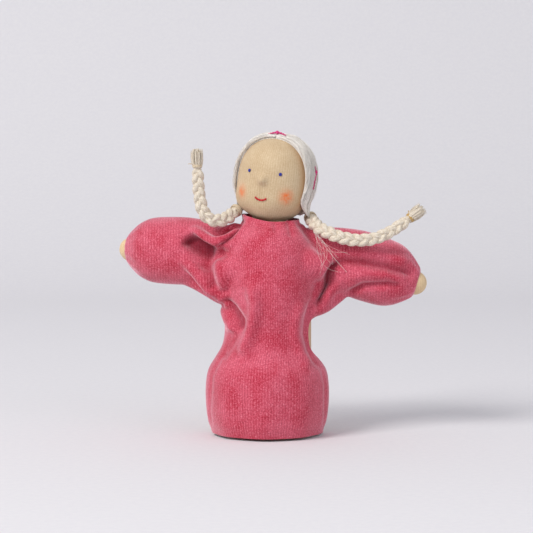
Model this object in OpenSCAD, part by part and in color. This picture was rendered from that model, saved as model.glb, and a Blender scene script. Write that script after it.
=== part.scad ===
// Peg doll: a stuffed head and a velour gown on a turned wooden peg.
// Millimetres, +Z up, the face towards -Y. The origin is the middle of the peg's foot.

/* [Peg] */
// Diameter of the peg's body
peg_d = 32; // [31:0.25:33]
// Height of the peg's flat top
peg_h = 80; // [79:0.25:81]
// Rounding of the peg's shoulder
peg_round = 8; // [7:0.5:9]
// Chamfer round the foot
foot_chamfer = 0.8; // [0.4:0.1:1.4]
// Diameter of the pin that the head turns on
pin_d = 8; // [7:0.25:8.5]
// Length of that pin above the flat top
pin_l = 17; // [13:0.5:20]
// Radial clearance of the pin in the head
pin_clear = 0.06; // [0.02:0.01:0.1]

/* [Arm cord] */
// How far the cord's cross hole lies below the peg's flat top
arm_drop = 9; // [8.5:0.25:10]
// Diameter of the cord
cord_d = 2.5; // [2:0.1:3]
// Diameter of the knots at its ends
knot_d = 4.8; // [4.2:0.1:5.4]
// Room between a knot and the peg
knot_gap = 1.1; // [0.8:0.1:1.6]

/* [Gown] */
// Thickness of the velour
velour_t = 1.2; // [1:0.05:1.4]
// Room between the peg and the velour at the waist
waist_ease = 0.2; // [0.15:0.05:0.4]
// More room than that at the chest
chest_ease = 1; // [0.9:0.1:1.4]
// More room than that at the front of the waist
front_ease = 2; // [1.5:0.1:2.4]
// Height of the hem above the floor
hem_z = 1.8; // [1.4:0.1:2.2]
// Diameter at the hem
hem_d = 43.2; // [42:0.2:44]
// Diameter at the hips
hip_d = 47.6; // [46:0.2:48.5]
// Height of the fullest part of the skirt
hip_z = 19; // [18:0.5:20]
// Height of the waist
waist_z = 41; // [40:0.5:42]
// How far the skirt has slipped towards the doll's right hand
skirt_shift = 1; // [0:0.1:1.2]
// Room between the thread in the collar and the one round the neck
collar_room = 1.4; // [1.2:0.1:2]
// Height of the collar above the peg's flat top
collar_rise = 4.2; // [3.8:0.1:4.4]
// Depth of the skirt's flutes
flute = 0.5; // [0.1:0.05:0.6]
// Depth of the gathers at the neck
gather = 0.4; // [0.1:0.05:0.45]
// Depth of the creases from the neck to the armholes
crease = 0.6; // [0.1:0.05:0.7]
// Thickness of the drawing thread in the collar
thread_d = 0.7; // [0.5:0.05:0.8]

/* [Arms] */
// Length of a sleeve from its shoulder knot to its edge
sleeve_l = 39.2; // [37:0.2:41]
// Height of a sleeve where it is fullest
sleeve_h = 26.4; // [25:0.2:27]
// Depth of a sleeve where it is fullest
sleeve_w = 22.8; // [22:0.2:23.4]
// Where the stiff part of a sleeve starts, from its shoulder knot
sleeve_start = 9; // [8.5:0.1:10]
// Depth of the folds along a sleeve, as a share of its radius
sleeve_fold = 0.025; // [0:0.005:0.03]
// Diameter of a hand
hand_d = 9.2; // [8.6:0.1:9.6]
// Clearance between stuffing, velour and hands
soft_gap = 0.15; // [0.1:0.05:0.3]
// How far the armhole reaches up from the arm cord
armhole_up = 10; // [9.5:0.1:10.2]
// How far the armhole reaches down from the arm cord
armhole_down = 25; // [24:0.2:26]
// Half the depth of the armhole
armhole_w = 10; // [9.5:0.1:10.5]
// How far the doll's right arm, at -X, is raised above level
right_raise = 0; // [-2:0.5:3]
// How far that arm is held back
right_back = 24; // [20:1:27]
// How far the doll's left arm, at +X, is raised above level
left_raise = -18; // [-22:0.5:-15]
// How far that arm is held back
left_back = 0; // [-2:1:4]

/* [Head] */
// Width of the head without the hair
head_d = 29; // [28:0.2:29.6]
// Height of the head without the hair
head_h = 33; // [32:0.2:34]
// Height of the head's middle above the peg's flat top
head_rise = 19.3; // [19.1:0.1:20.2]
// Lean of the head to the doll's left
head_lean = 7; // [4:0.5:8]
// Turn of the head to the doll's right
head_turn = 20; // [10:1:25]
// Height of the neck tube's foot above the peg's flat top
neck_rise = 2.1; // [1.8:0.1:2.4]
// Thickness of the jersey
skin_t = 0.9; // [0.7:0.05:1.1]
// Diameter of the neck tube
neck_d = 13; // [12.4:0.1:13.6]
// Thickness of the thread round the neck tube
tie_d = 1; // [0.8:0.05:1.1]
// Diameter of the nose
nose_d = 4.4; // [3.8:0.1:5]
// Height of the nose above the head's middle
nose_z = -0.4; // [-1.2:0.1:-0.3]
// Diameter of an eye
eye_d = 1.5; // [1.2:0.05:1.8]
// Turn of each eye from the middle of the face
eye_turn = 26; // [22:0.5:30]
// Height of the eyes above the head's middle
eye_z = 2.5; // [1.5:0.1:3.5]
// Thickness of the mouth's thread
mouth_t = 0.76; // [0.6:0.02:0.9]
// Width of the mouth
mouth_w = 4.3; // [3.6:0.1:5]
// Height of the mouth below the head's middle
mouth_z = 7.8; // [7:0.1:8.5]

/* [Hair] */
// Thickness of the hair on the head
hair_t = 1.4; // [1.2:0.05:1.6]
// How far the hair reaches in front of the head's middle
hair_front = 5; // [4:0.1:6]
// How far the hair reaches below the head's middle
hair_down = 11; // [10.5:0.1:11.2]
// Thickness of a knot of pink wool
wool_d = 1.7; // [1.4:0.05:2]
// Length of a knot of pink wool with its ends
wool_l = 9; // [7:0.1:10]
// Height of the knots at the sides above the head's middle
knot_up = 4.8; // [2.5:0.1:5.5]
// Thickness of a plait at its root
plait_root_d = 5.4; // [5:0.1:5.6]
// Thickness of a plait at its end
plait_end_d = 4.4; // [4:0.1:4.6]
// Length of the thread bound round a plait
plait_tie_l = 1.4; // [1.2:0.1:1.6]
// Length of the loose ends beyond that thread
tuft_l = 6; // [5:0.1:7]

/* [Hidden] */
$fn = 64;
peg_r = peg_d / 2;
waist_r = peg_r + waist_ease + velour_t;
chest_r = waist_r + chest_ease;
thread_ring_r = neck_d / 2 + tie_d + collar_room + thread_d / 2;
collar_r = thread_ring_r + thread_d / 2 + soft_gap + gather + velour_t;
collar_z = peg_h + collar_rise;
arm_z = peg_h - arm_drop;
arm_x = peg_r + knot_gap + knot_d / 2;
neck_z = peg_h + 2;
pin_r = pin_d / 2;
hand_u = sleeve_l - 0.6;
wrist_u = hand_u - hand_d / 2;
wrist_r = 2.6;
lip_r = hand_d / 2 + soft_gap;
sleeve_sides = 20;
gown_rows = 22;
front_columns = 26;
back_columns = 5;
flutes = 9;
gathers = 12;

// Routes of the plaits from the hair to the thread at the end, with heights above the neck
right_route = from_neck([
    [-13.4, -2, 4.9], [-16.4, -5.8, 2.6], [-19.6, -8, 1.6], [-23, -9, 2.2],
    [-25.7, -9.2, 5.4], [-26.9, -9, 10.6], [-27.5, -9, 16.2], [-27.8, -9, 22]]);
left_route = from_neck([
    [15.8, -1, 2], [16.6, -5.4, 0.8], [18.9, -9.8, -1.2], [23.2, -12.4, -3.2], [28.8, -13.4, -5],
    [34.6, -13.6, -5.6], [40.4, -13.2, -4.8], [45.6, -12.4, -2.6], [50, -11.6, 0.2], [53, -11, 2.4]]);

// Small helpers for curves through stations [where, value]
function mix(a, b, t) = a + (b - a) * t;
function within(t) = max(0, min(1, t));
function ease(t) = let (c = within(t)) c * c * (3 - 2 * c);
function hump(x, middle, half) = let (t = abs(x - middle) / half) t < 1 ? pow(cos(90 * t), 2) : 0;
function slope(s, i) =
    let (a = max(0, i - 1), b = min(len(s) - 1, i + 1)) (s[b][1] - s[a][1]) / (s[b][0] - s[a][0]);
function span(s, x, i = 0) = i >= len(s) - 2 || x <= s[i + 1][0] ? i : span(s, x, i + 1);
function curve(s, x) =
    let (
        i = span(s, x),
        h = s[i + 1][0] - s[i][0],
        t = within((x - s[i][0]) / h),
        a = s[i][1],
        b = s[i + 1][1],
        m = slope(s, i) * h,
        n = slope(s, i + 1) * h
    )
    a + t * (m + t * (3 * (b - a) - 2 * m - n + t * (2 * (a - b) + m + n)));
function unit(v) = v / norm(v);
function from_neck(points) = [for (p = points) p + [0, 0, neck_z]];

// Triangles between rings of points, each ring a closed loop of the same count
function side_faces(rings, count, closed) = [
    for (i = [0 : rings - (closed ? 1 : 2)], j = [0 : count - 1], k = [0, 1])
        let (
            a = i * count + j,
            b = i * count + (j + 1) % count,
            c = ((i + 1) % rings) * count + j,
            d = ((i + 1) % rings) * count + (j + 1) % count
        )
        k == 0 ? [a, b, d] : [a, d, c]];
function fan(first, count, turned) = [
    for (j = [1 : count - 2]) turned ? [first, first + j + 1, first + j] : [first, first + j, first + j + 1]];
function strip(first, count, turned) = [
    for (j = [0 : count / 2 - 2], k = [0, 1])
        let (
            a = first + j,
            d = first + count - 1 - j,
            f = k == 0 ? [a, a + 1, d - 1] : [a, d - 1, d]
        )
        turned ? [f[0], f[2], f[1]] : f];

// A solid through rings with flat ends
module tube(rings) {
    n = len(rings[0]);
    last = (len(rings) - 1) * n;
    polyhedron(
        [for (r = rings) each r],
        concat(side_faces(len(rings), n, false), fan(0, n, true), fan(last, n, false)));
}

// A skin through rings that run along its outside and back along its inside
module sleeve_skin(rings) {
    polyhedron([for (r = rings) each r], side_faces(len(rings), len(rings[0]), true));
}

// A skin through thin loops that run along its outside and back along its inside
module panel_skin(loops) {
    n = len(loops[0]);
    last = (len(loops) - 1) * n;
    polyhedron(
        [for (l = loops) each l],
        concat(side_faces(len(loops), n, false), strip(0, n, true), strip(last, n, false)));
}

// Peg
module peg() {
    color("burlywood") difference() {
        union() {
            rotate_extrude() union() {
                polygon([
                    [0, 0], [peg_r - foot_chamfer, 0], [peg_r, foot_chamfer], [peg_r, peg_h - peg_round],
                    [peg_r - peg_round, peg_h], [0, peg_h]]);
                intersection() {
                    translate([peg_r - peg_round, peg_h - peg_round]) circle(peg_round);
                    translate([peg_r - peg_round, peg_h - peg_round]) square(peg_round);
                }
            }
            translate([0, 0, peg_h - peg_round]) cylinder(h = pin_l + peg_round, r = pin_r);
        }
        translate([-peg_d, 0, arm_z]) rotate([0, 90, 0]) cylinder(h = 2 * peg_d, d = cord_d + 2 * soft_gap);
    }
}

module arm_cord() {
    color("tan") {
        translate([-arm_x, 0, arm_z]) rotate([0, 90, 0]) cylinder(h = 2 * arm_x, d = cord_d);
        for (side = [-1, 1]) translate([side * arm_x, 0, arm_z]) sphere(d = knot_d);
    }
}

// Gown: its radius at each height, the seams and the open back, as turns from the front
gown_profile = [
    [hem_z, hem_d / 2],
    [mix(hem_z, hip_z, 0.19), mix(hem_d, hip_d, 0.55) / 2],
    [mix(hem_z, hip_z, 0.57), mix(hem_d, hip_d, 0.93) / 2],
    [hip_z, hip_d / 2],
    [mix(hip_z, waist_z, 0.28), mix(waist_r, hip_d / 2, 0.88)],
    [mix(hip_z, waist_z, 0.5), mix(waist_r, hip_d / 2, 0.5)],
    [mix(hip_z, waist_z, 0.74), mix(waist_r, hip_d / 2, 0.14)],
    [waist_z, waist_r],
    [mix(waist_z, arm_z, 0.2), waist_r],
    [mix(waist_z, arm_z, 0.667), chest_r],
    [mix(waist_z, arm_z, 0.967), chest_r],
    [mix(arm_z, peg_h, 0.444), mix(collar_r, chest_r, 0.855)],
    [peg_h, mix(collar_r, chest_r, 0.46)],
    [mix(peg_h, collar_z, 0.6), mix(collar_r, chest_r, 0.1)],
    [collar_z, collar_r]];
left_seam = [
    [hem_z, 64], [hip_z, 64], [mix(hip_z, waist_z, 0.95), 46], [mix(waist_z, arm_z, 0.2), 48],
    [mix(waist_z, arm_z, 0.53), 82], [mix(waist_z, arm_z, 0.73), 90], [collar_z, 90]];
right_seam = [
    [hem_z, 66], [hip_z, 66], [waist_z, 74],
    [mix(waist_z, arm_z, 0.53), 86], [mix(waist_z, arm_z, 0.73), 90], [collar_z, 90]];
left_edge = [
    [hem_z, 104], [hip_z, 100], [mix(hip_z, waist_z, 0.4), 82], [mix(hip_z, waist_z, 0.66), 61],
    [mix(hip_z, waist_z, 0.8), 59], [mix(waist_z, arm_z, 0.13), 60], [mix(waist_z, arm_z, 0.37), 86],
    [mix(waist_z, arm_z, 0.63), 120], [mix(waist_z, arm_z, 0.97), 150], [peg_h, 166], [collar_z, 171]];
right_edge = [
    [hem_z, 106], [hip_z, 102], [mix(hip_z, waist_z, 0.66), 98], [waist_z, 103],
    [mix(waist_z, arm_z, 0.37), 114], [mix(waist_z, arm_z, 0.63), 130], [mix(waist_z, arm_z, 0.97), 152],
    [peg_h, 166], [collar_z, 171]];
slit_turn = 16;
seam_gap = 0.4;
slit_half = 0.8 * armhole_w;
crease_top = 40;
crease_foot = 62;
crease_half = 10;

function slit(z) = slit_turn * hump(z, arm_z, slit_half);
function crease_turn(z) = mix(crease_foot, crease_top, within((z - arm_z) / (2 * armhole_w) + 0.4));
function gown_r(turn, z) =
    curve(gown_profile, z)
    + flute * cos(flutes * turn) * ease((mix(hip_z, waist_z, 0.6) - z) / hip_z)
    + gather * cos(gathers * turn) * ease((z - arm_z) / armhole_w + 0.2)
    + front_ease * pow(max(0, cos(turn)), 2) * hump(z, mix(waist_z, arm_z, 0.4), armhole_down)
    - crease * hump(abs(turn), crease_turn(z), crease_half)
        * hump(z, mix(arm_z, peg_h, 0.2), 1.2 * armhole_w);
function gown_point(turn, z, inset) =
    let (r = gown_r(turn, z) - inset, shift = -skirt_shift * ease((mix(hip_z, waist_z, 0.8) - z) / armhole_w))
    [r * sin(turn) + shift, -r * cos(turn), z];
function gown_loop(from, to, z, columns) = concat(
    [for (j = [0 : columns - 1]) gown_point(mix(from, to, j / (columns - 1)), z, 0)],
    [for (j = [columns - 1 : -1 : 0]) gown_point(mix(from, to, j / (columns - 1)), z, velour_t)]);
function gown_row(i) = mix(hem_z, collar_z, i / (gown_rows - 1));

module gown_front() {
    color("palevioletred") panel_skin([
        for (i = [0 : gown_rows - 1])
            let (z = gown_row(i))
            gown_loop(slit(z) - curve(right_seam, z), curve(left_seam, z) - slit(z), z, front_columns)]);
}

module gown_back_left() {
    color("palevioletred") panel_skin([
        for (i = [0 : gown_rows - 1])
            let (z = gown_row(i))
            gown_loop(curve(left_seam, z) + slit(z) + seam_gap, curve(left_edge, z), z, back_columns)]);
}

module gown_back_right() {
    color("palevioletred") panel_skin([
        for (i = [0 : gown_rows - 1])
            let (z = gown_row(i))
            gown_loop(-curve(right_edge, z), -curve(right_seam, z) - slit(z) - seam_gap, z, back_columns)]);
}

module neck_thread() {
    color("crimson") translate([0, 0, mix(peg_h, collar_z, 0.7)]) {
        rotate_extrude() translate([thread_ring_r, 0]) circle(d = thread_d, $fn = 24);
        translate([0, thread_ring_r + thread_d, 0]) rotate([90, 0, 0])
            cylinder(h = 2 * thread_d, d = 3 * thread_d);
    }
}

// Arms, drawn along +X from the shoulder knot and then set at each side
arm_form = [[0.235, 0.97], [0.36, 1], [0.55, 1], [0.73, 0.96], [0.83, 0.85]];

function sleeve_ring(u, share, inset, folds) = [
    for (k = [0 : sleeve_sides - 1])
        let (a = 360 * k / sleeve_sides, f = 1 + folds * cos(7 * a))
        [
            u,
            (sleeve_w / 2 * share - inset) * f * cos(a),
            (sleeve_h / 2 * share - inset) * f * sin(a)]];
function round_ring(u, r) = [
    for (k = [0 : sleeve_sides - 1]) let (a = 360 * k / sleeve_sides) [u, r * cos(a), r * sin(a)]];
function sleeve_at(s) = max(sleeve_start, sleeve_l * s);

module at_shoulder(side, raise, back) {
    mirror([side < 0 ? 1 : 0, 0, 0]) translate([arm_x, 0, arm_z]) rotate([0, -raise, back]) children();
}

module sleeve() {
    color("palevioletred") sleeve_skin(concat(
        [for (s = arm_form) sleeve_ring(sleeve_at(s[0]), s[1], 0, sleeve_fold)],
        [sleeve_ring(sleeve_l * 0.93, 0.63, 0, sleeve_fold)],
        [round_ring(sleeve_l * 0.98, lip_r + 1.9), round_ring(sleeve_l, lip_r + velour_t)],
        [round_ring(sleeve_l, lip_r), round_ring(sleeve_l * 0.98, lip_r + 0.7)],
        [sleeve_ring(sleeve_l * 0.93, 0.63, velour_t, sleeve_fold)],
        [for (i = [len(arm_form) - 1 : -1 : 0])
            sleeve_ring(sleeve_at(arm_form[i][0]), arm_form[i][1], velour_t, sleeve_fold)]));
}

module arm() {
    color("ivory") tube(concat(
        [round_ring(knot_d / 2 + soft_gap, 4)],
        [sleeve_ring(sleeve_start * 0.65, 0.65, velour_t + soft_gap, 0)],
        [for (s = arm_form) sleeve_ring(sleeve_at(s[0]) + 0.3, s[1], velour_t + 2 * soft_gap, sleeve_fold)],
        [round_ring(wrist_u - 0.1, 4.4)]));
}

module hand() {
    color("bisque") {
        translate([hand_u, 0, 0]) sphere(d = hand_d);
        translate([wrist_u - 0.1, 0, 0]) rotate([0, 90, 0]) cylinder(h = hand_d / 2, r = wrist_r);
    }
}

module wrist_thread() {
    ring_u = hand_u - 1.4;
    hand_r = sqrt(pow(hand_d / 2, 2) - 1.4 * 1.4);
    color("crimson") translate([ring_u, 0, 0]) rotate([0, 90, 0])
        rotate_extrude() translate([hand_r + soft_gap / 2 + 0.25, 0]) circle(d = 0.5, $fn = 16);
}

// Gathered velour from the gown's side to the first ring of the sleeve
function armhole_ring(inset, gap) = [
    for (k = [0 : sleeve_sides - 1])
        let (
            a = 360 * k / sleeve_sides,
            y = (armhole_w - inset) * cos(a),
            z = arm_z + ((sin(a) > 0 ? armhole_up : armhole_down) - inset) * sin(a),
            r = curve(gown_profile, z) + gather + gap
        )
        [sqrt(r * r - y * y), y, z]];
function set_arm(p, raise, back) =
    let (
        u = p[0] * cos(raise) - p[2] * sin(raise),
        v = p[0] * sin(raise) + p[2] * cos(raise)
    )
    [arm_x + u * cos(back) - p[1] * sin(back), u * sin(back) + p[1] * cos(back), arm_z + v];
function sleeve_root(inset, raise, back) = [
    for (p = sleeve_ring(sleeve_start - 2 * soft_gap, arm_form[0][1], inset, sleeve_fold))
        set_arm(p, raise, back)];
function between(a, b, t, dip) = [
    for (k = [0 : len(a) - 1]) mix(a[k], b[k], t) - [0, 0, dip * max(0, sin(360 * k / len(a)))]];

module sleeve_head(side, raise, back) {
    outer_gap = 0.25;
    a = armhole_ring(0, outer_gap);
    b = sleeve_root(0, raise, back);
    c = armhole_ring(velour_t, outer_gap);
    d = sleeve_root(velour_t, raise, back);
    color("palevioletred") mirror([side < 0 ? 1 : 0, 0, 0])
        sleeve_skin([a, between(a, b, 0.5, 1), b, d, between(c, d, 0.5, 1), c]);
}

module left_sleeve_head() sleeve_head(1, left_raise, left_back);
module right_sleeve_head() sleeve_head(-1, right_raise, right_back);
module left_sleeve() at_shoulder(1, left_raise, left_back) sleeve();
module right_sleeve() at_shoulder(-1, right_raise, right_back) sleeve();
module left_arm() at_shoulder(1, left_raise, left_back) arm();
module right_arm() at_shoulder(-1, right_raise, right_back) arm();
module left_hand() at_shoulder(1, left_raise, left_back) hand();
module right_hand() at_shoulder(-1, right_raise, right_back) hand();
module left_wrist_thread() at_shoulder(1, left_raise, left_back) wrist_thread();
module right_wrist_thread() at_shoulder(-1, right_raise, right_back) wrist_thread();

// Head, drawn about its own middle with the face towards -Y
head_power = 2.2;
head_steps = 14;
function head_r(z, grow) =
    (head_d / 2 + grow) * pow(1 - pow(within(abs(z) / (head_h / 2 + grow)), head_power), 1 / head_power);
function head_top(r, grow) =
    (head_h / 2 + grow) * pow(1 - pow(within(r / (head_d / 2 + grow)), head_power), 1 / head_power);
function head_tilt(z) = atan((head_r(z + 0.1, 0) - head_r(z - 0.1, 0)) / 0.2);
neck_foot = neck_rise - head_rise;

module in_head() {
    translate([0, 0, neck_z]) rotate([0, head_lean, 0]) rotate([0, 0, -head_turn])
        translate([0, 0, head_rise - 2]) children();
}

module head_solid(grow) {
    h = head_h / 2 + grow;
    rotate_extrude() polygon(concat(
        [[0, -h]],
        [for (i = [1 : head_steps - 1]) let (z = -h * cos(180 * i / head_steps)) [head_r(z, grow), z]],
        [[0, h]]));
}

module neck_solid(grow, foot) {
    translate([0, 0, foot]) cylinder(h = -foot - head_h / 4, d = neck_d + 2 * grow);
}

module nose_solid(grow) {
    translate([0, -head_r(nose_z, 0) + nose_d * 0.22, nose_z]) sphere(d = nose_d + 2 * grow);
}

module on_face(turn, z) {
    rotate([0, 0, turn]) translate([0, -head_r(z, 0), z]) rotate([90 + head_tilt(z), 0, 0]) children();
}

module head_skin() {
    color("bisque") in_head() difference() {
        union() {
            head_solid(0);
            neck_solid(0, neck_foot);
            nose_solid(0);
        }
        head_solid(-skin_t);
        neck_solid(-skin_t, neck_foot - 1);
        nose_solid(-skin_t);
    }
}

module head_core() {
    inset = -skin_t - soft_gap;
    color("ivory") difference() {
        in_head() union() {
            head_solid(inset);
            neck_solid(inset, neck_foot);
        }
        in_head() nose_solid(-skin_t);
        translate([0, 0, peg_h - 1]) cylinder(h = pin_l + 1 + 2 * pin_clear, r = pin_r + pin_clear);
    }
}

module nose_bead() {
    color("ivory") in_head() intersection() {
        nose_solid(-skin_t - soft_gap / 3);
        translate([0, -head_d / 2, 0]) cube([head_d, head_d, head_d], center = true);
    }
}

module head_tie() {
    color("linen") in_head() translate([0, 0, neck_foot + 1.2])
        rotate_extrude() translate([neck_d / 2 + tie_d / 2, 0]) circle(d = tie_d, $fn = 24);
}

module eye(turn) {
    color("midnightblue") in_head() on_face(turn, eye_z) intersection() {
        sphere(d = eye_d, $fn = 48);
        translate([-eye_d, -eye_d, 0]) cube([2 * eye_d, 2 * eye_d, eye_d]);
    }
}

module left_eye() eye(eye_turn);
module right_eye() eye(-eye_turn);

module mouth() {
    half_turn = 42;
    bow_r = mouth_w / 2 / sin(half_turn);
    color("firebrick") in_head() on_face(0, -mouth_z) translate([0, bow_r, 0]) rotate([0, 0, 270 - half_turn])
        rotate_extrude(angle = 2 * half_turn) translate([bow_r, 0]) intersection() {
            circle(d = mouth_t, $fn = 24);
            translate([-mouth_t, 0]) square([2 * mouth_t, mouth_t]);
        }
}

// Hair and what is tied in it
hair_gap = 0.1;

module hair() {
    color("whitesmoke") in_head() intersection() {
        difference() {
            head_solid(hair_t);
            head_solid(hair_gap);
        }
        translate([-head_d, -hair_front, -hair_down]) cube([2 * head_d, 2 * head_d, head_h]);
    }
}

// A knot of wool along Z with a long end and a short one
module wool_knot(long, short) {
    color("hotpink") rotate_extrude() polygon([
        [0, -long], [0.35 * wool_d / 2, -long], [0.5 * wool_d / 2, -0.3 * long], [wool_d / 2, -0.12 * long],
        [wool_d / 2, 0.12 * long], [0.5 * wool_d / 2, 0.3 * short], [0.35 * wool_d / 2, short], [0, short]]);
}

module crown_knot() {
    front = hair_front - 0.6;
    in_head() translate([0, -front, head_top(front, hair_t) + wool_d / 2]) rotate([0, 90, 0])
        wool_knot(wool_l / 2, wool_l / 2);
}

module side_knot(side) {
    in_head() translate([side * (head_r(0, hair_t) + wool_d / 2), 0, knot_up])
        wool_knot(wool_l * 0.75, wool_l * 0.25);
}

module left_side_knot() side_knot(1);
module right_side_knot() side_knot(-1);

// Plaits: a tube along each route, bound at both ends
plait_sides = 10;
function ahead(route, i) = unit(route[min(len(route) - 1, i + 1)] - route[max(0, i - 1)]);
function plait_ring(route, i) =
    let (
        t = ahead(route, i),
        across = unit(cross(t, [0, 1, 0])),
        over = cross(t, across),
        r = mix(plait_root_d, plait_end_d, i / (len(route) - 1)) / 2
    )
    [for (k = [0 : plait_sides - 1])
        let (a = 360 * k / plait_sides) route[i] + r * cos(a) * across + r * sin(a) * over];

module plait(route) {
    color("oldlace") tube([for (i = [0 : len(route) - 1]) plait_ring(route, i)]);
}

// Draws along the way that a route runs on past its end, or back past its start
module past_end(route) {
    n = len(route) - 1;
    t = unit(route[n] - route[n - 1]);
    translate(route[n]) rotate([0, acos(t[2]), atan2(t[1], t[0])]) children();
}

module past_start(route) {
    t = unit(route[0] - route[1]);
    translate(route[0]) rotate([0, acos(t[2]), atan2(t[1], t[0])]) children();
}

module root_tie(route) {
    color("tan") past_start(route) cylinder(h = plait_tie_l, d = plait_root_d);
}

module plait_tie(route) {
    color("darkgoldenrod") past_end(route) cylinder(h = plait_tie_l, d = plait_end_d);
}

module plait_tuft(route) {
    r = plait_end_d / 2;
    color("oldlace") past_end(route) translate([0, 0, plait_tie_l]) rotate_extrude() polygon([
        [0, 0], [0.8 * r, 0], [1.15 * r, 0.3 * tuft_l], [1.3 * r, 0.65 * tuft_l], [1.1 * r, 0.92 * tuft_l],
        [0.7 * r, tuft_l], [0, tuft_l]]);
}

module left_plait() plait(left_route);
module right_plait() plait(right_route);
module left_root_tie() root_tie(left_route);
module right_root_tie() root_tie(right_route);
module left_plait_tie() plait_tie(left_route);
module right_plait_tie() plait_tie(right_route);
module left_plait_tuft() plait_tuft(left_route);
module right_plait_tuft() plait_tuft(right_route);

peg();
arm_cord();
gown_front();
gown_back_left();
gown_back_right();
neck_thread();
left_sleeve_head();
right_sleeve_head();
left_sleeve();
right_sleeve();
left_arm();
right_arm();
left_hand();
right_hand();
left_wrist_thread();
right_wrist_thread();
head_core();
nose_bead();
head_skin();
head_tie();
left_eye();
right_eye();
mouth();
hair();
crown_knot();
left_side_knot();
right_side_knot();
left_plait();
right_plait();
left_root_tie();
right_root_tie();
left_plait_tie();
right_plait_tie();
left_plait_tuft();
right_plait_tuft();
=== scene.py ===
import math

import bpy
import numpy as np
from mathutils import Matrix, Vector


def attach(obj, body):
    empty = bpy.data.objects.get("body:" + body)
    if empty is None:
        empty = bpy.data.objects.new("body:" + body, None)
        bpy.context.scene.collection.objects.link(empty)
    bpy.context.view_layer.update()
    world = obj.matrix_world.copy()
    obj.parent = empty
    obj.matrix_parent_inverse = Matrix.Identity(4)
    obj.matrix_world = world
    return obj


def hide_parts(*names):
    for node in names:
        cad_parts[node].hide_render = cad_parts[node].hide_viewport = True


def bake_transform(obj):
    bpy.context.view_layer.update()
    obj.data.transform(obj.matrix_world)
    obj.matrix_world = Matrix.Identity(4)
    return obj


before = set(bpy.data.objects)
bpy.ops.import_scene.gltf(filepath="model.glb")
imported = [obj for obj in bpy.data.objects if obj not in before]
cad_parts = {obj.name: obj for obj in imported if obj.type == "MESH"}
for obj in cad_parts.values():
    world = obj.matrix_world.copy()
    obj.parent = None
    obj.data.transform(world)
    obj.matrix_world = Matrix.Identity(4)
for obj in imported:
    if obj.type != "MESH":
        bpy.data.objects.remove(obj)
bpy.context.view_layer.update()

# The peg: turned from one piece of pale beech, sanded and left bare. It shows down the open back of the gown
# and as a narrow strip beside the waist. Its pin carries the head, and a cord runs through its cross hole.
PORE_STRETCH = (900.0, 900.0, 34.0)
RING_STRETCH = (150.0, 60.0, 7.0)
RING_SHARE = 0.12


def finish(name, roughness, specular, sheen=0.0, sheen_tint=(1.0, 1.0, 1.0)):
    """A node material: itself, its tree, its surface shader, and a function that adds a node to the tree."""
    material = bpy.data.materials.new(name)
    material.use_nodes = True
    tree = material.node_tree
    surface = tree.nodes["Principled BSDF"]
    surface.inputs["Roughness"].default_value = roughness
    surface.inputs["Sheen Weight"].default_value = sheen
    surface.inputs["Sheen Roughness"].default_value = 0.45
    surface.inputs["Sheen Tint"].default_value = (*sheen_tint, 1.0)
    surface.inputs["Specular IOR Level"].default_value = specular

    def node(kind, links=(), **settings):
        """One more node, with its settings by name, and its links as pairs of an input and what feeds it."""
        made = tree.nodes.new(kind)
        for key, value in settings.items():
            if key in made.inputs:
                made.inputs[key].default_value = value
            else:
                setattr(made, key, value)
        for key, source in links:
            tree.links.new(source, made.inputs[key])
        return made

    return material, tree, surface, node


def paint(rgb):
    """A colour written in 0 to 255 screen values, as the shader's linear colour."""
    c = np.array(rgb, float) / 255.0
    c = np.where(c <= 0.04045, c / 12.92, ((c + 0.055) / 1.055) ** 2.4)
    return (float(c[0]), float(c[1]), float(c[2]), 1.0)


def ramp(node, factor, stops):
    """A colour ramp driven by a factor, with stops of (place, screen colour)."""
    made = node("ShaderNodeValToRGB", [("Fac", factor)])
    band = made.color_ramp
    while len(band.elements) < len(stops):
        band.elements.new(0.5)
    for element, (place, rgb) in zip(band.elements, stops):
        element.position = place
        element.color = paint(rgb)
    return made.outputs["Color"]


def embossed(tree, surface, node, height, strength, depth):
    """A fine relief on a material: its bump follows the height given, over a depth in metres."""
    raised = node("ShaderNodeBump", [("Height", height)], Strength=strength, Distance=depth)
    tree.links.new(raised.outputs["Normal"], surface.inputs["Normal"])


beech, tree, surface, node = finish("beech", 0.55, specular=0.35)
where = node("ShaderNodeTexCoord").outputs["Object"]
fine = node("ShaderNodeMapping", [("Vector", where)], Scale=PORE_STRETCH, Location=(0.4, 0.0, 0.0))
pores = node("ShaderNodeTexNoise", [("Vector", fine.outputs["Vector"])], Scale=1.0, Detail=4.0, Roughness=0.6)
slow = node("ShaderNodeMapping", [("Vector", where)], Scale=RING_STRETCH)
rings = node(
    "ShaderNodeTexWave", [("Vector", slow.outputs["Vector"])],
    Scale=0.9, Distortion=3.0, Detail=2.0, wave_type="BANDS")
grain = node("ShaderNodeMix", [("A", pores.outputs["Fac"]), ("B", rings.outputs["Fac"])], Factor=RING_SHARE)
wood = ramp(node, grain.outputs["Result"], [
    (0.25, (176, 136, 100)), (0.5, (205, 170, 134)), (0.75, (218, 188, 154))])
tree.links.new(wood, surface.inputs["Base Color"])
embossed(tree, surface, node, pores.outputs["Fac"], 0.25, 0.0002)
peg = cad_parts["peg"]
peg.data.materials.clear()
peg.data.materials.append(beech)

# The arm cord: linen, three-ply, through the cross hole of the peg and knotted at both ends.
# The arms are sewn to the knots, which lie inside the sleeve heads.
MM = 0.001
TO_BACK = (0.0, 1.0, 0.0)
ARM_X, ARM_Z = 19.5, 71.0
CORD_PLIES, PLY_R, PLY_OFFSET, PLY_TURN = 3, 0.62, 0.58, 7.0
CORD_KNOT, CORD_KNOT_R = 1.55, 0.85
UV_STEP = 7.3


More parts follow.
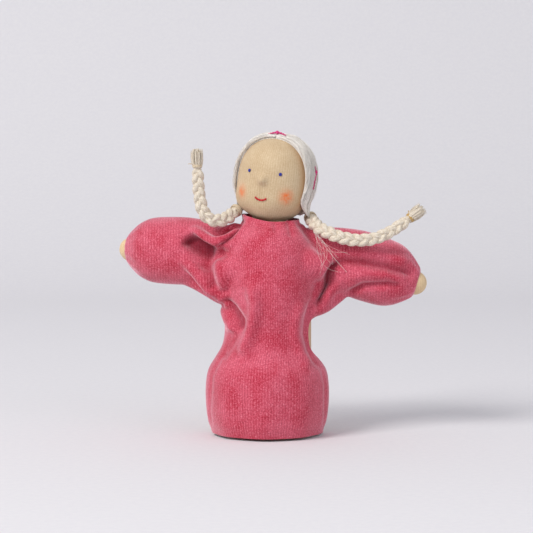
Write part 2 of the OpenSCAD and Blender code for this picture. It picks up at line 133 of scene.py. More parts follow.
def unit(v):
    """Vectors divided by their own lengths."""
    return v / np.maximum(np.linalg.norm(v, axis=-1, keepdims=True), 1e-12)


def frames_along(path, reference):
    """Direction, sideways and depth vectors at each point of a path; sideways is square to the reference."""
    along = unit(np.gradient(path, axis=-2))
    side = unit(np.cross(np.broadcast_to(np.asarray(reference, float), along.shape), along))
    return along, side, np.cross(along, side)


def grid_faces(rows, columns, wrap):
    """Quads between neighbouring rows of a grid, the columns closed into a ring where wrap is set."""
    i = np.arange(rows - 1)[:, None] * columns
    j = np.arange(columns if wrap else columns - 1)[None, :]
    k = (j + 1) % columns
    return np.stack([i + j, i + k, i + columns + k, i + columns + j], axis=-1).reshape(-1, 4)


def end_fans(rows, columns):
    """Faces that draw the first and last ring of a grid to two more points: quads with a doubled corner."""
    j = np.arange(columns)
    k = (j + 1) % columns
    first, last = np.full(columns, rows * columns), np.full(columns, rows * columns + 1)
    end = (rows - 1) * columns
    return np.concatenate([
        np.stack([k, j, first, first], axis=-1), np.stack([end + j, end + k, last, last], axis=-1)])


def tubes(paths, radii, sides, reference, lobes=None):
    """Many tubes of one count: rings square to each path, closed at both ends, as (points, faces, uv).
    lobes(angle, row) multiplies the radius. uv runs round the tube and along it, in turns and millimetres,
    and starts at another place on each tube."""
    paths = np.asarray(paths, float)
    if paths.ndim == 2:
        paths = paths[None]
    tube_count, rows = paths.shape[:2]
    radii = np.broadcast_to(np.asarray(radii, float), (tube_count, rows))
    _, side, depth = frames_along(paths, reference)
    angle = np.linspace(0.0, 2 * np.pi, sides, endpoint=False)
    swell = np.ones((rows, sides)) if lobes is None else lobes(angle[None, :], np.arange(rows)[:, None])
    r = radii[:, :, None] * swell[None]
    rings = (
        paths[:, :, None, :]
        + (r * np.cos(angle))[..., None] * side[:, :, None, :]
        + (r * np.sin(angle))[..., None] * depth[:, :, None, :]
    )
    tips = np.stack([paths[:, 0], paths[:, -1]], axis=1)
    points = np.concatenate([rings.reshape(tube_count, -1, 3), tips], axis=1)
    faces = np.concatenate([grid_faces(rows, sides, True), end_fans(rows, sides)])
    step = rows * sides + 2
    faces = (faces[None] + step * np.arange(tube_count)[:, None, None]).reshape(-1, 4)
    steps = np.linalg.norm(np.diff(paths, axis=1), axis=2)
    length = np.concatenate([np.zeros((tube_count, 1)), np.cumsum(steps, axis=1)], axis=1)
    u = angle / (2 * np.pi) + UV_STEP * np.arange(tube_count)[:, None, None]
    u = np.broadcast_to(u, (tube_count, rows, sides)).reshape(tube_count, -1)
    v = np.repeat(length, sides, axis=1)
    ends = np.stack([length[:, 0], length[:, -1]], axis=1)
    uv = np.stack([np.concatenate([u, np.zeros((tube_count, 2))], 1), np.concatenate([v, ends], 1)], axis=-1)
    return points.reshape(-1, 3), faces, uv.reshape(-1, 2)


def joined(*parts):
    """Several (points, faces, uv) as one."""
    starts = np.cumsum([0] + [len(p[0]) for p in parts])
    return (
        np.concatenate([p[0] for p in parts]),
        np.concatenate([p[1] + s for p, s in zip(parts, starts)]),
        np.concatenate([p[2] for p in parts]),
    )


def piece(name, points, faces, material, uv=None, values=None):
    """A smooth mesh object from points in millimetres and quads; a quad whose last two corners agree becomes
    a triangle. uv is one pair for each point, and values gives further named numbers for each point."""
    pointed = faces[:, 2] == faces[:, 3]
    loops = np.concatenate([faces[~pointed].ravel(), faces[pointed][:, :3].ravel()])
    sizes = np.concatenate([np.full((~pointed).sum(), 4), np.full(pointed.sum(), 3)])
    mesh = bpy.data.meshes.new(name)
    mesh.vertices.add(len(points))
    mesh.vertices.foreach_set("co", (np.asarray(points, float) * MM).astype(np.float32).ravel())
    mesh.loops.add(len(loops))
    mesh.loops.foreach_set("vertex_index", loops.astype(np.int32))
    mesh.polygons.add(len(sizes))
    starts = np.concatenate([[0], np.cumsum(sizes)[:-1]])
    mesh.polygons.foreach_set("loop_start", starts.astype(np.int32))
    mesh.polygons.foreach_set("use_smooth", np.ones(len(sizes), bool))
    if uv is not None:
        layer = mesh.uv_layers.new(name="UVMap")
        layer.data.foreach_set("uv", np.asarray(uv, float)[loops].astype(np.float32).ravel())
    for key, numbers in (values or {}).items():
        attribute = mesh.attributes.new(key, "FLOAT", "POINT")
        attribute.data.foreach_set("value", np.asarray(numbers, np.float32))
    mesh.update(calc_edges=True)
    mesh.validate()
    mesh.materials.append(material)
    thing = bpy.data.objects.new(name, mesh)
    bpy.context.scene.collection.objects.link(thing)
    return thing


def tube_piece(name, made, material):
    """A mesh object from the (points, faces, uv) of tubes."""
    points, faces, uv = made
    return piece(name, points, faces, material, uv=uv)


def yarn_finish(name, dark, light, fibre=9.0):
    """Spun yarn: thin fibres that run along the strand, in darker and lighter tones, with a little fuzz in
    the sheen.
    fibre says how fine they are round the strand."""
    material, tree, surface, node = finish(name, 0.85, specular=0.2, sheen=0.25)
    where = node("ShaderNodeTexCoord").outputs["UV"]
    stretched = node("ShaderNodeMapping", [("Vector", where)], Scale=(fibre, 0.9, 1.0))
    fibres = node(
        "ShaderNodeTexNoise", [("Vector", stretched.outputs["Vector"])],
        Scale=1.6, Detail=5.0, Roughness=0.65)
    colour = ramp(node, fibres.outputs["Fac"], [(0.3, dark), (0.62, light)])
    tree.links.new(colour, surface.inputs["Base Color"])
    embossed(tree, surface, node, fibres.outputs["Fac"], 0.5, 0.0003)
    return material


def twisted(path, strand_r, offset, turn, plies, reference, sides=9):
    """Plies twisted round a path, each a tube that winds once in the turn length."""
    along = np.concatenate([[0.0], np.cumsum(np.linalg.norm(np.diff(path, axis=0), axis=1))])
    _, side, depth = frames_along(path, reference)
    lines = []
    for k in range(plies):
        a = 2 * np.pi * (along / turn + k / plies)
        lines.append(path + offset * (np.cos(a)[:, None] * side + np.sin(a)[:, None] * depth))
    return tubes(np.array(lines), strand_r, sides, reference)


def overhand_knot(centre, size, strand_r, turned=0.0):
    """A tight overhand knot: a trefoil line about X, at radius (2 + cos 3t) / 3 and round twice, which sways
    along X with sin 3t, as one tube."""
    t = np.linspace(0.0, 2 * np.pi, 90)
    r = (2.0 + np.cos(3 * t)) / 3.0
    line = np.stack([np.sin(3 * t) / 2.6, r * np.cos(2 * t + turned), r * np.sin(2 * t + turned)], axis=-1)
    return tubes(centre + size * line, strand_r, 10, (0.9, 0.3, 0.2))


linen = yarn_finish("linen", (168, 146, 112), (214, 196, 162))
span_x = np.linspace(-ARM_X, ARM_X, 160)
span = np.stack([span_x, 0.0 * span_x, 0.0 * span_x + ARM_Z], axis=-1)
arm_cord = tube_piece("arm_cord_plies", joined(
    twisted(span, PLY_R, PLY_OFFSET, PLY_TURN, CORD_PLIES, TO_BACK),
    overhand_knot(np.array([-ARM_X, 0.0, ARM_Z]), CORD_KNOT, CORD_KNOT_R),
    overhand_knot(np.array([ARM_X, 0.0, ARM_Z]), CORD_KNOT, CORD_KNOT_R)), linen)
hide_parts("arm_cord")
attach(arm_cord, "body")

# The gown: pink cotton velour, cut flat in the shape of a T with its ribs upright, sewn at the sides, drawn
# in at the neck and the waist and left open down the back. Wool in the sleeves pulls folds into the velour.
# Body and sleeves are shaped as one skin, which is then parted at the armholes.
VELOUR = 1.2
HEM_Z = 1.0
COLLAR_Z, COLLAR_TILT, COLLAR_REACH = 84.8, 0.09, 14.0
COLLAR_DIP, COLLAR_DIP_TURN = 1.4, 42.0
FRONT_EASE, EASE_Z, EASE_HALF = 2.0, 53.0, 25.0
SKIRT_SLIP, SLIP_Z, SLIP_FALL = 1.0, 36.6, 10.0
SLEEVE_DEEP, SLEEVE_HIGH, SLEEVE_END = 11.4, 13.2, 39.6
ARMHOLE_X, ARMHOLE_DEEP, ARMHOLE_UP, ARMHOLE_DOWN, ARMHOLE_RUN = 13.0, 9.0, 10.0, 24.0, 15.0
SLEEVE_X, SLEEVE_Z = 20.0, 42.0
SKIRT_FLUTE, FLUTE_Z, FLUTE_FALL = 0.3, 32.0, 16.0
GATHER_Z, GATHER_RISE = 76.0, 7.0
SLACK, SLACK_U, SLACK_HALF = 0.4, 5.5, 9.0
PLEAT_U, PLEAT_RUN = 30.0, 7.0
SKIN_VOXEL = 0.6
ARMPIT_HALF, ARMPIT_Z, ARMPIT_RISE = 8.0, 40.0, 8.0
FOLD_FADE, FOLD_END = 0.16, 0.25
FORWARD_FROM, FORWARD_RUN = 0.45, 0.5
STEEP_FROM, STEEP_RUN = 1.0, 1.4
CREASE_SHADE_STRENGTH, CREASE_SHADE_DEPTH = 0.75, 4.6
UNCUT_OUT, UNCUT_X, UNCUT_Z = 19.3, 14.0, 43.0
EDGE_BAND, EDGE_FADE = 9.0, 7.0
PEG_R, PEG_TOP, PEG_ROUND, PEG_GAP = 16.0, 80.0, 8.0, 0.5
RIBS, SLEEVE_RIB = 132.0, 1.1
STRAIGHT = 0.6

# Rows of a height and the gown's radius there, of a height and how far round each back edge lies in degrees,
# and of a place along the arm and how full the sleeve is. Each arm has its side, its lift and its sweep back.
gown_outline = np.array([
    [-6.0, 20.4], [1.8, 21.6], [5.1, 22.8], [11.6, 23.65], [19.0, 23.8], [25.2, 23.0], [30.0, 20.6],
    [35.3, 18.4], [41.0, 17.5], [47.0, 17.5], [61.0, 18.4], [70.0, 18.4], [75.0, 17.4], [80.0, 14.7],
    [82.5, 12.4], [84.8, 11.4], [90.0, 10.6]])
left_edge = np.array([
    [-6.0, 104.0], [19.0, 100.0], [27.8, 82.0], [33.5, 61.0], [36.6, 59.0], [45.0, 62.0], [49.0, 92.0],
    [58.0, 120.0], [70.0, 150.0], [80.0, 166.0], [90.0, 171.0]])
right_edge = np.array([
    [-6.0, 106.0], [19.0, 102.0], [33.5, 98.0], [41.0, 103.0], [52.0, 114.0], [60.0, 130.0], [70.0, 152.0],
    [80.0, 166.0], [90.0, 171.0]])
sleeve_swell = np.array([
    [0.0, 0.80], [9.0, 0.97], [14.0, 1.0], [21.5, 1.0], [28.6, 0.96], [32.5, 0.85], [36.4, 0.63], [38.4, 0.5],
    [39.2, 0.43], [39.6, 0.3]])
arm_pose = {"left": (1.0, -18.0, 0.0), "right": (-1.0, 0.0, 24.0)}


def smooth_route(points, count):
    """A curve through the points, evenly spaced: Hermite pieces with slopes from each point's neighbours."""
    points = np.asarray(points, float)
    s = np.concatenate([[0.0], np.cumsum(np.linalg.norm(np.diff(points, axis=0), axis=1))])
    slope = np.gradient(points, s, axis=0)
    q = np.linspace(0.0, s[-1], count)
    i = np.clip(np.searchsorted(s, q, side="right") - 1, 0, len(s) - 2)
    h = (s[i + 1] - s[i])[:, None]
    t = (q - s[i])[:, None] / h
    a, b, m, n = points[i], points[i + 1], slope[i] * h, slope[i + 1] * h
    return a + t * (m + t * (3 * (b - a) - 2 * m - n + t * (2 * (a - b) + m + n)))


def through(stations, x):
    """A smooth value at x through rows of (place, value), with each row's slope taken from its neighbours."""
    p, v = stations[:, 0], stations[:, 1]
    m = np.empty(len(p))
    m[1:-1] = (v[2:] - v[:-2]) / (p[2:] - p[:-2])
    m[0], m[-1] = (v[1] - v[0]) / (p[1] - p[0]), (v[-1] - v[-2]) / (p[-1] - p[-2])
    i = np.clip(np.searchsorted(p, x, side="right") - 1, 0, len(p) - 2)
    h = p[i + 1] - p[i]
    t = np.clip((x - p[i]) / h, 0.0, 1.0)
    a, b, c, d = v[i], v[i + 1], m[i] * h, m[i + 1] * h
    return a + t * (c + t * (3 * (b - a) - 2 * c - d + t * (2 * (a - b) + c + d)))


def smooth_step(t):
    """0 before 0, 1 after 1, and a smooth rise between."""
    t = np.clip(t, 0.0, 1.0)
    return t * t * (3 - 2 * t)


def hump(x, middle, half):
    """1 at the middle, falling as a squared cosine to 0 at half a width to each side."""
    return np.cos(np.pi / 2 * np.clip(np.abs(x - middle) / half, 0.0, 1.0)) ** 2


def skirt_shift(z):
    """How far the skirt has slipped towards -X below the waist, in millimetres."""
    return -SKIRT_SLIP * smooth_step((SLIP_Z - z) / SLIP_FALL)


def set_arm(points, hand):
    """Points given along an arm (out, back, up from the shoulder knot) put where that arm is held."""
    side, lift, back = arm_pose[hand]
    lift, back = math.radians(lift), math.radians(back)
    u = points[..., 0] * math.cos(lift) - points[..., 2] * math.sin(lift)
    v = points[..., 0] * math.sin(lift) + points[..., 2] * math.cos(lift)
    x = ARM_X + u * math.cos(back) - points[..., 1] * math.sin(back)
    y = u * math.sin(back) + points[..., 1] * math.cos(back)
    return np.stack([side * x, y, ARM_Z + v], axis=-1)


def capped(rings):
    """A closed skin through rings of points, with each end drawn to its middle, as (points, faces)."""
    rows, columns = rings.shape[:2]
    ends = rings[[0, -1]].mean(axis=1)
    points = np.concatenate([rings.reshape(-1, 3), ends])
    return points, np.concatenate([grid_faces(rows, columns, True), end_fans(rows, columns)])


def torso_form():
    """The gown's body: a ring at each height whose radius follows the outline, fuller in front at the waist,
    with soft flutes in the skirt and gathers at the neck."""
    z = np.linspace(*gown_outline[[0, -1], 0], 150)[:, None]
    turn = np.linspace(0.0, 2 * np.pi, 240, endpoint=False)[None, :]
    ease = np.maximum(0.0, np.cos(turn)) ** 2 * hump(z, EASE_Z, EASE_HALF)
    flutes = np.cos(9 * turn + 0.6) + 0.6 * np.cos(5 * turn - 0.4)
    gathers = 0.26 * np.cos(22 * turn) + 0.16 * np.cos(13 * turn + 1.0)
    r = through(gown_outline, z) + FRONT_EASE * ease
    r = r + SKIRT_FLUTE * flutes * smooth_step((FLUTE_Z - z) / FLUTE_FALL)
    r = r + gathers * smooth_step((z - GATHER_Z) / GATHER_RISE)
    return capped(np.stack([r * np.sin(turn) + skirt_shift(z), -r * np.cos(turn), z + 0.0 * turn], axis=-1))


def sleeve_form(hand):
    """One stuffed sleeve: ovals along the arm that end bluntly at the wrist and spread at the armhole, where
    the front is slack."""
    u = np.concatenate([np.linspace(0.0, 36.0, 40), np.linspace(36.5, SLEEVE_END, 9)])[:, None]
    a = np.linspace(0.0, 2 * np.pi, 96, endpoint=False)[None, :]
    pleat = 1.0 + 0.05 * np.cos(13 * a + 0.7) * smooth_step((u - PLEAT_U) / PLEAT_RUN)
    slack = 1.0 - SLACK * hump(u, SLACK_U, SLACK_HALF) * (np.cos(a) < 0)
    swell = through(sleeve_swell, u) * pleat
    deep, high = SLEEVE_DEEP * swell * slack, SLEEVE_HIGH * swell
    arm = set_arm(np.stack([u + 0.0 * a, deep * np.cos(a), high * np.sin(a)], axis=-1), hand)
    reach = np.where(np.sin(a) > 0, ARMHOLE_UP, ARMHOLE_DOWN)
    hole_x = np.full(a.shape, arm_pose[hand][0] * ARMHOLE_X)
    hole = np.stack([hole_x, ARMHOLE_DEEP * np.cos(a), ARM_Z + reach * np.sin(a)], axis=-1)
    w = smooth_step(u / ARMHOLE_RUN)[..., None]
    return capped(hole * (1 - w) + arm * w)


def roll_form(line, radius):
    """A rounded roll of velour along a line of points, as thick as the radius but for its blunt ends."""
    s = np.linspace(-1.0, 1.0, 60)
    blunt = np.sqrt(1.02 - s ** 8)
    return tubes(smooth_route(line, len(s)), radius * blunt, 28, (0.13, 1.0, 0.21))[:2]


def outward(points, faces):
    """The same skin with its faces turned outwards, by the sign of its volume."""
    a, b, c, d = (points[faces[:, k]] for k in range(4))
    volume = (np.einsum("ij,ij->i", a, np.cross(b, c)) + np.einsum("ij,ij->i", a, np.cross(c, d))).sum()
    turned = np.where((faces[:, 2] == faces[:, 3])[:, None], faces[:, [1, 0, 2, 3]], faces[:, ::-1])
    return points, faces if volume > 0 else turned


def one_skin(forms, voxel):
    """Closed forms merged into one outer skin by a voxel remesh, as (points, quads) in millimetres."""
    forms = [outward(*f) for f in forms]
    starts = np.cumsum([0] + [len(f[0]) for f in forms])
    points = np.concatenate([f[0] for f in forms])
    faces = np.concatenate([f[1] + s for f, s in zip(forms, starts)])
    rough = piece("rough", points, faces, beech)
    remesh = rough.modifiers.new("remesh", "REMESH")
    remesh.mode = "VOXEL"
    remesh.voxel_size = voxel * MM
    made = rough.evaluated_get(bpy.context.evaluated_depsgraph_get()).to_mesh()
    points = np.empty(len(made.vertices) * 3)
    made.vertices.foreach_get("co", points)
    corners = np.empty(len(made.loops), np.int64)
    made.loops.foreach_get("vertex_index", corners)
    rough_mesh = rough.data
    bpy.data.objects.remove(rough)
    bpy.data.meshes.remove(rough_mesh)
    return points.reshape(-1, 3) / MM, corners.reshape(-1, 4)


def quad_edges(faces):
    """The four sides of every quad, as pairs of points."""
    return np.concatenate([faces[:, [i, (i + 1) % 4]] for i in range(4)])


def smoothed(points, faces, times, amount):
    """Each point moved towards the mean of its neighbours, by one amount or by one for each point."""
    a, b = quad_edges(faces).T
    count = np.bincount(a, minlength=len(points))[:, None]
    amount = np.broadcast_to(amount, (len(points),))[:, None]
    for _ in range(times):
        total = np.stack([np.bincount(a, points[b, k], len(points)) for k in range(3)], axis=-1)
        points = points + amount * (total / np.maximum(count, 1) - points)
    return points


def point_normals(points, faces):
    """Unit normals at the points: the sum of the normals of the quads round each one."""
    across = np.cross(points[faces[:, 2]] - points[faces[:, 0]], points[faces[:, 3]] - points[faces[:, 1]])
    total = np.zeros_like(points)
    for k in range(4):
        for axis in range(3):
            total[:, axis] += np.bincount(faces[:, k], across[:, axis], len(points))
    return unit(total)


def from_line(x, z, line):
    """Distance of (x, z) from a line of points, and the share of the line's length at the nearest place."""
    line = np.asarray(line, float)
    steps = np.linalg.norm(np.diff(line, axis=0), axis=1)
    done = np.concatenate([[0.0], np.cumsum(steps)])
    best, share = np.full(x.shape, 1e9), np.zeros(x.shape)
    for i, (p, q) in enumerate(zip(line[:-1], line[1:])):
        t = np.clip(((x - p[0]) * (q[0] - p[0]) + (z - p[1]) * (q[1] - p[1])) / steps[i] ** 2, 0.0, 1.0)
        d = np.hypot(x - p[0] - t * (q[0] - p[0]), z - p[1] - t * (q[1] - p[1]))
        near = d < best
        best, share = np.where(near, d, best), np.where(near, (done[i] + t * steps[i]) / done[-1], share)
    return best, share


# Rolls that the stuffing pushes up, each a line of places and a radius: a swag under the right plait, the
# left shoulder, one under each arm, the ridge from the right sleeve to the armpit, the chest on its way into
# each sleeve, the right shoulder, the pouch that hangs over the right of the waist, the filling of the left
# armpit, and the edge of the left shoulder beside the collar.
rolls = [
    ([(-30.5, 1.0, 80.0), (-26.5, -5.0, 76.8), (-21.2, -8.4, 74.6), (-16.0, -9.4, 76.0), (-12.0, -8.6, 79.6),
      (-9.0, -7.4, 82.6)], 3.1),
    ([(31.0, 0.0, 77.4), (24.0, 0.0, 78.2), (17.0, 0.0, 78.2), (9.0, -1.0, 80.0)], 2.0),
    ([(-36.0, 5.0, 62.0), (-29.0, 1.5, 59.5), (-23.5, -1.0, 56.5), (-16.0, -4.0, 52.0)], 3.2),
    ([(30.0, -1.0, 57.5), (25.5, -1.5, 54.0), (21.0, -3.0, 50.6), (14.0, -9.0, 49.0)], 3.2),
    ([(-37.0, -1.0, 71.0), (-30.0, -5.0, 65.5), (-25.5, -7.0, 60.0), (-21.0, -8.0, 54.5)], 2.6),
    ([(6.0, -8.5, 69.0), (17.0, -7.2, 67.0), (29.0, -3.0, 66.0)], 6.4),
    ([(-6.0, -9.0, 67.0), (-14.0, -8.2, 65.0), (-20.0, -5.0, 61.5), (-26.0, -2.0, 60.8)], 6.0),
    ([(-9.0, -4.5, 82.4), (-13.2, -4.2, 81.2), (-16.5, -3.6, 79.7), (-21.0, -3.5, 78.6)], 2.0),
    ([(-21.0, -4.0, 57.5), (-16.0, -7.5, 54.0), (-12.0, -10.0, 52.2), (-8.5, -11.8, 54.0),
      (-7.0, -12.2, 58.0)], 3.8),
    ([(25.0, -4.0, 64.0), (21.0, -5.4, 57.0), (18.0, -6.4, 51.5)], 3.4),
    ([(8.5, -4.5, 82.0), (11.6, -4.2, 81.7), (14.2, -3.0, 79.2), (18.0, -2.0, 78.4)], 1.9),
]

# Each fold is a line seen from the front, its height (less than 0 for a valley) and its half width.
front_folds = [
    ([(-11.0, 85.0), (-13.4, 80.6), (-16.8, 75.8), (-20.0, 71.5)], -2.8, 1.5),
    ([(-33.0, 77.0), (-27.5, 73.0), (-21.5, 69.6)], -5.2, 2.5),
    ([(-28.6, 80.2), (-25.2, 77.4), (-21.0, 75.8), (-16.8, 77.2), (-13.0, 81.0)], -0.5, 0.6),
    ([(-27.4, 78.0), (-24.6, 75.6), (-21.0, 74.0), (-17.2, 75.4), (-14.0, 78.6)], -0.5, 0.6),
    ([(-24.5, 67.5), (-23.0, 62.0), (-21.4, 57.0)], -2.2, 1.6),
    ([(-20.0, 69.0), (-19.0, 63.0), (-17.6, 57.0)], 1.3, 1.8),
    ([(-18.0, 54.0), (-14.6, 49.5), (-11.6, 45.6), (-11.8, 41.6)], -3.0, 2.0),
    ([(-18.2, 51.0), (-16.0, 45.4), (-14.0, 41.0)], 2.2, 1.6),
    ([(-7.4, 60.0), (-5.6, 53.0), (-6.0, 46.5), (-7.8, 39.5), (-10.6, 32.0)], 2.8, 2.3),
    ([(-12.4, 41.0), (-15.0, 36.0), (-18.6, 30.5)], -0.9, 1.3),
    ([(26.4, 69.0), (24.2, 64.5), (20.4, 57.0), (18.6, 50.5)], -4.6, 1.5),
    ([(28.2, 62.0), (24.4, 55.6), (21.2, 50.4)], 1.0, 1.8),
    ([(25.5, 68.6), (36.0, 67.9), (44.5, 66.2), (52.5, 64.0), (56.0, 62.0)], -2.9, 1.8),
    ([(30.0, 72.2), (42.0, 70.6), (53.5, 67.4)], 1.0, 2.2),
    ([(29.6, 54.6), (35.6, 58.6), (45.4, 59.4), (51.0, 58.0)], -2.2, 1.3),
    ([(31.0, 61.6), (38.0, 63.6), (47.0, 63.0)], 0.9, 1.8),
    ([(11.5, 84.0), (16.5, 77.0), (21.0, 71.0)], -1.8, 1.7),
    ([(12.6, 53.0), (9.8, 46.0), (9.6, 40.0), (11.8, 33.0), (15.6, 27.0)], 1.3, 1.9),
    ([(16.0, 53.0), (13.8, 46.0), (13.4, 40.0), (16.0, 33.0)], -1.0, 1.2),
    ([(-17.0, 52.0), (-14.9, 40.0), (-19.0, 31.0), (-22.4, 24.0), (-23.4, 10.0), (-22.4, 2.0)], -0.45, 0.7),
    ([(13.0, 38.0), (15.8, 30.5), (20.0, 26.5), (21.4, 20.0), (21.3, 8.0), (20.6, 2.0)], -0.5, 0.7),
    ([(-6.4, 84.5), (-8.2, 78.5)], -0.6, 0.9),
    ([(-2.4, 84.5), (-3.6, 79.0)], -0.5, 0.8),
    ([(2.4, 84.5), (2.2, 79.5)], -0.5, 0.8),
    ([(6.8, 84.0), (8.4, 77.5)], -0.7, 0.9),
]

# The skin is smoothed, most of all in the armpits, folded where it faces forward, and smoothed again where
# the folds are steep. Then it is held off the wood.
gown_points, gown_faces = one_skin(
    [torso_form(), sleeve_form("left"), sleeve_form("right")] + [roll_form(*r) for r in rolls], SKIN_VOXEL)
near_arm = np.exp(-((np.abs(gown_points[:, 0]) - SLEEVE_X) / ARMPIT_HALF) ** 2)
near_arm = near_arm * smooth_step((gown_points[:, 2] - ARMPIT_Z) / ARMPIT_RISE)
gown_points = smoothed(gown_points, gown_faces, 16, 0.08 + 0.42 * near_arm)
gown_points = smoothed(gown_points, gown_faces, 3, 0.35)
gown_normals = point_normals(gown_points, gown_faces)
facing = smooth_step((FORWARD_FROM - gown_normals[:, 1]) / FORWARD_RUN)
fold_height = np.zeros(len(gown_points))
for line, height, half in front_folds:
    d, share = from_line(gown_points[:, 0], gown_points[:, 2], line)
    ends = smooth_step(share / FOLD_FADE + FOLD_END) * smooth_step((1 - share) / FOLD_FADE + FOLD_END)
    fold_height += height * np.exp(-((d / half) ** 2)) * ends
gown_points = gown_points + (facing * fold_height)[:, None] * gown_normals
# Painted shade: the velour is darkened where the forward-facing folds sink into valleys, more the deeper they
# are.
crease = CREASE_SHADE_STRENGTH * smooth_step(-facing * fold_height / CREASE_SHADE_DEPTH)
steep = smooth_step((np.abs(fold_height) - STEEP_FROM) / STEEP_RUN)
gown_points = smoothed(gown_points, gown_faces, 5, 0.16 + 0.34 * steep)


def off_the_peg(points):
    """The points moved out from the peg's axis where they come nearer to its wood than a little pile."""
    above = np.clip(points[:, 2] - (PEG_TOP - PEG_ROUND), 0.0, PEG_ROUND)
    wood = PEG_R - PEG_ROUND + np.sqrt(PEG_ROUND ** 2 - above ** 2)
    out = np.maximum(1.0, (wood + PEG_GAP) / np.hypot(points[:, 0], points[:, 1]))
    return points * np.where(points[:, 2] < PEG_TOP, out, 1.0)[:, None] ** [1.0, 1.0, 0.0]


gown_points = off_the_peg(smoothed(off_the_peg(gown_points), gown_faces, 2, 0.4))
skin_normals = point_normals(gown_points, gown_faces)


def trimmed(faces, excess):
    """The faces without those that lie wholly where excess is positive."""
    return faces[~(excess[faces] > 0).all(axis=1)]


# The skin is cut at the hem, the collar and the two back edges, which are given as turns from the front.
# The sleeves, well out from the peg and above the waist, aren't cut.
height = gown_points[:, 2]
slipped_x = gown_points[:, 0] - skirt_shift(height)
turn = np.degrees(np.arctan2(slipped_x, -gown_points[:, 1]))
from_axis = np.hypot(gown_points[:, 0], gown_points[:, 1])
edge = np.where(turn > 0, through(left_edge, height), through(right_edge, height))
uncut = (from_axis > UNCUT_OUT) & (np.abs(gown_points[:, 0]) > UNCUT_X) & (height > UNCUT_Z)
past_edge = np.where(uncut, -1.0, np.abs(turn) - edge)
at_collar = from_axis < COLLAR_REACH
rim = COLLAR_Z - COLLAR_TILT * gown_points[:, 0] - COLLAR_DIP * np.exp(-(turn / COLLAR_DIP_TURN) ** 2)
gown_faces = trimmed(gown_faces, HEM_Z - height)
gown_faces = trimmed(gown_faces, np.where(at_collar, height - rim, -1.0))
gown_faces = trimmed(gown_faces, past_edge)
snapped = np.radians(np.sign(turn) * edge)
radius = np.hypot(slipped_x, gown_points[:, 1])
edge_x = radius * np.sin(snapped) + skirt_shift(height)
on_edge = np.stack([edge_x, -radius * np.cos(snapped), height], axis=-1)
near_edge = np.where(uncut, 0.0, smooth_step((np.abs(turn) - edge + EDGE_BAND) / EDGE_FADE))
gown_points = np.where((past_edge > 0)[:, None], on_edge, gown_points)
gown_points[:, 2] = np.maximum(gown_points[:, 2], HEM_Z)
gown_points[:, 2] = np.where(at_collar, np.minimum(gown_points[:, 2], rim), gown_points[:, 2])


def largest(faces, count):
    """The faces of the largest piece that hangs together, so nothing cut off by the trimming stays."""
    label = np.arange(count)
    while True:
        lower = label.copy()
        np.minimum.at(lower, faces.ravel(), np.repeat(label[faces].min(axis=1), 4))
        lower = lower[lower]
        if (lower == label).all():
            break
        label = lower
    label = label[faces[:, 0]]
    return faces[label == np.bincount(label).argmax()]


def even_edges(points, faces, rounds):
    """The points with open edges drawn even: each moved half way to the middle of its two neighbours."""
    pairs, repeats = np.unique(np.sort(quad_edges(faces), axis=1), axis=0, return_counts=True)
    a, b = np.concatenate([pairs[repeats == 1], pairs[repeats == 1][:, ::-1]]).T
    count = np.bincount(a, minlength=len(points))[:, None]
    for _ in range(rounds):
        total = np.zeros_like(points)
        np.add.at(total, a, points[b])
        points = np.where(count > 1, 0.5 * (points + total / np.maximum(count, 1)), points)
    return points


gown_faces = largest(gown_faces, len(gown_points))
gown_points = even_edges(gown_points, gown_faces, 8)
gown_points = smoothed(gown_points, gown_faces, 8, 0.5 * near_edge)
gown_points = even_edges(gown_points, gown_faces, 12)


def walled(points, normals, faces, thickness):
    """A skin made a closed wall: the outside, the inside moved in along the normals, and quads round every
    open edge. Returns the wall's points, faces and normals, and which of the skin's points it uses."""
    used, index = np.unique(faces, return_inverse=True)
    outer = index.reshape(-1, 4)
    count = len(used)
    edges = quad_edges(outer)
    key = np.sort(edges, axis=1)
    _, first, repeats = np.unique(key[:, 0] * count + key[:, 1], return_index=True, return_counts=True)
    rim = edges[first[repeats == 1]]
    rim = np.stack([rim[:, 1], rim[:, 0], rim[:, 0] + count, rim[:, 1] + count], axis=-1)
    both = np.concatenate([points[used], points[used] - thickness * normals[used]])
    turned = np.concatenate([normals[used], -normals[used]])
    return both, np.concatenate([outer, outer[:, ::-1] + count, rim]), turned, used


def scaled(node, value, number, clamp=False):
    """A shader value times a number, kept between 0 and 1 where clamp is set."""
    made = node("ShaderNodeMath", [(0, value)], operation="MULTIPLY", use_clamp=clamp)
    made.inputs[1].default_value = number
    return made.outputs[0]


def rib_wave(node, phase):
    """A wave that goes from 0 to 1 and back with each whole step of the phase: half of 1 plus its sine."""
    wave = node("ShaderNodeMath", [(0, scaled(node, phase, 2 * math.pi))], operation="SINE")
    ridge = node("ShaderNodeMapRange", [("Value", wave.outputs[0])])
    ridge.inputs["From Min"].default_value = -1.0
    return ridge.outputs["Result"]


# Used for worn pile and crayon, and also to lay painted shade into the velour's folds and the face's temples.
def blended(tree, node, factor, ground, mixed_in):
    """Two colours mixed by a factor; each of the three is fixed or comes from another node."""
    made = node("ShaderNodeMix", data_type="RGBA")
    sockets = (made.inputs["Factor"], made.inputs[6], made.inputs[7])
    for socket, value in zip(sockets, (factor, ground, mixed_in)):
        if isinstance(value, bpy.types.NodeSocket):
            tree.links.new(value, socket)
        else:
            socket.default_value = value
    return made.outputs[2]


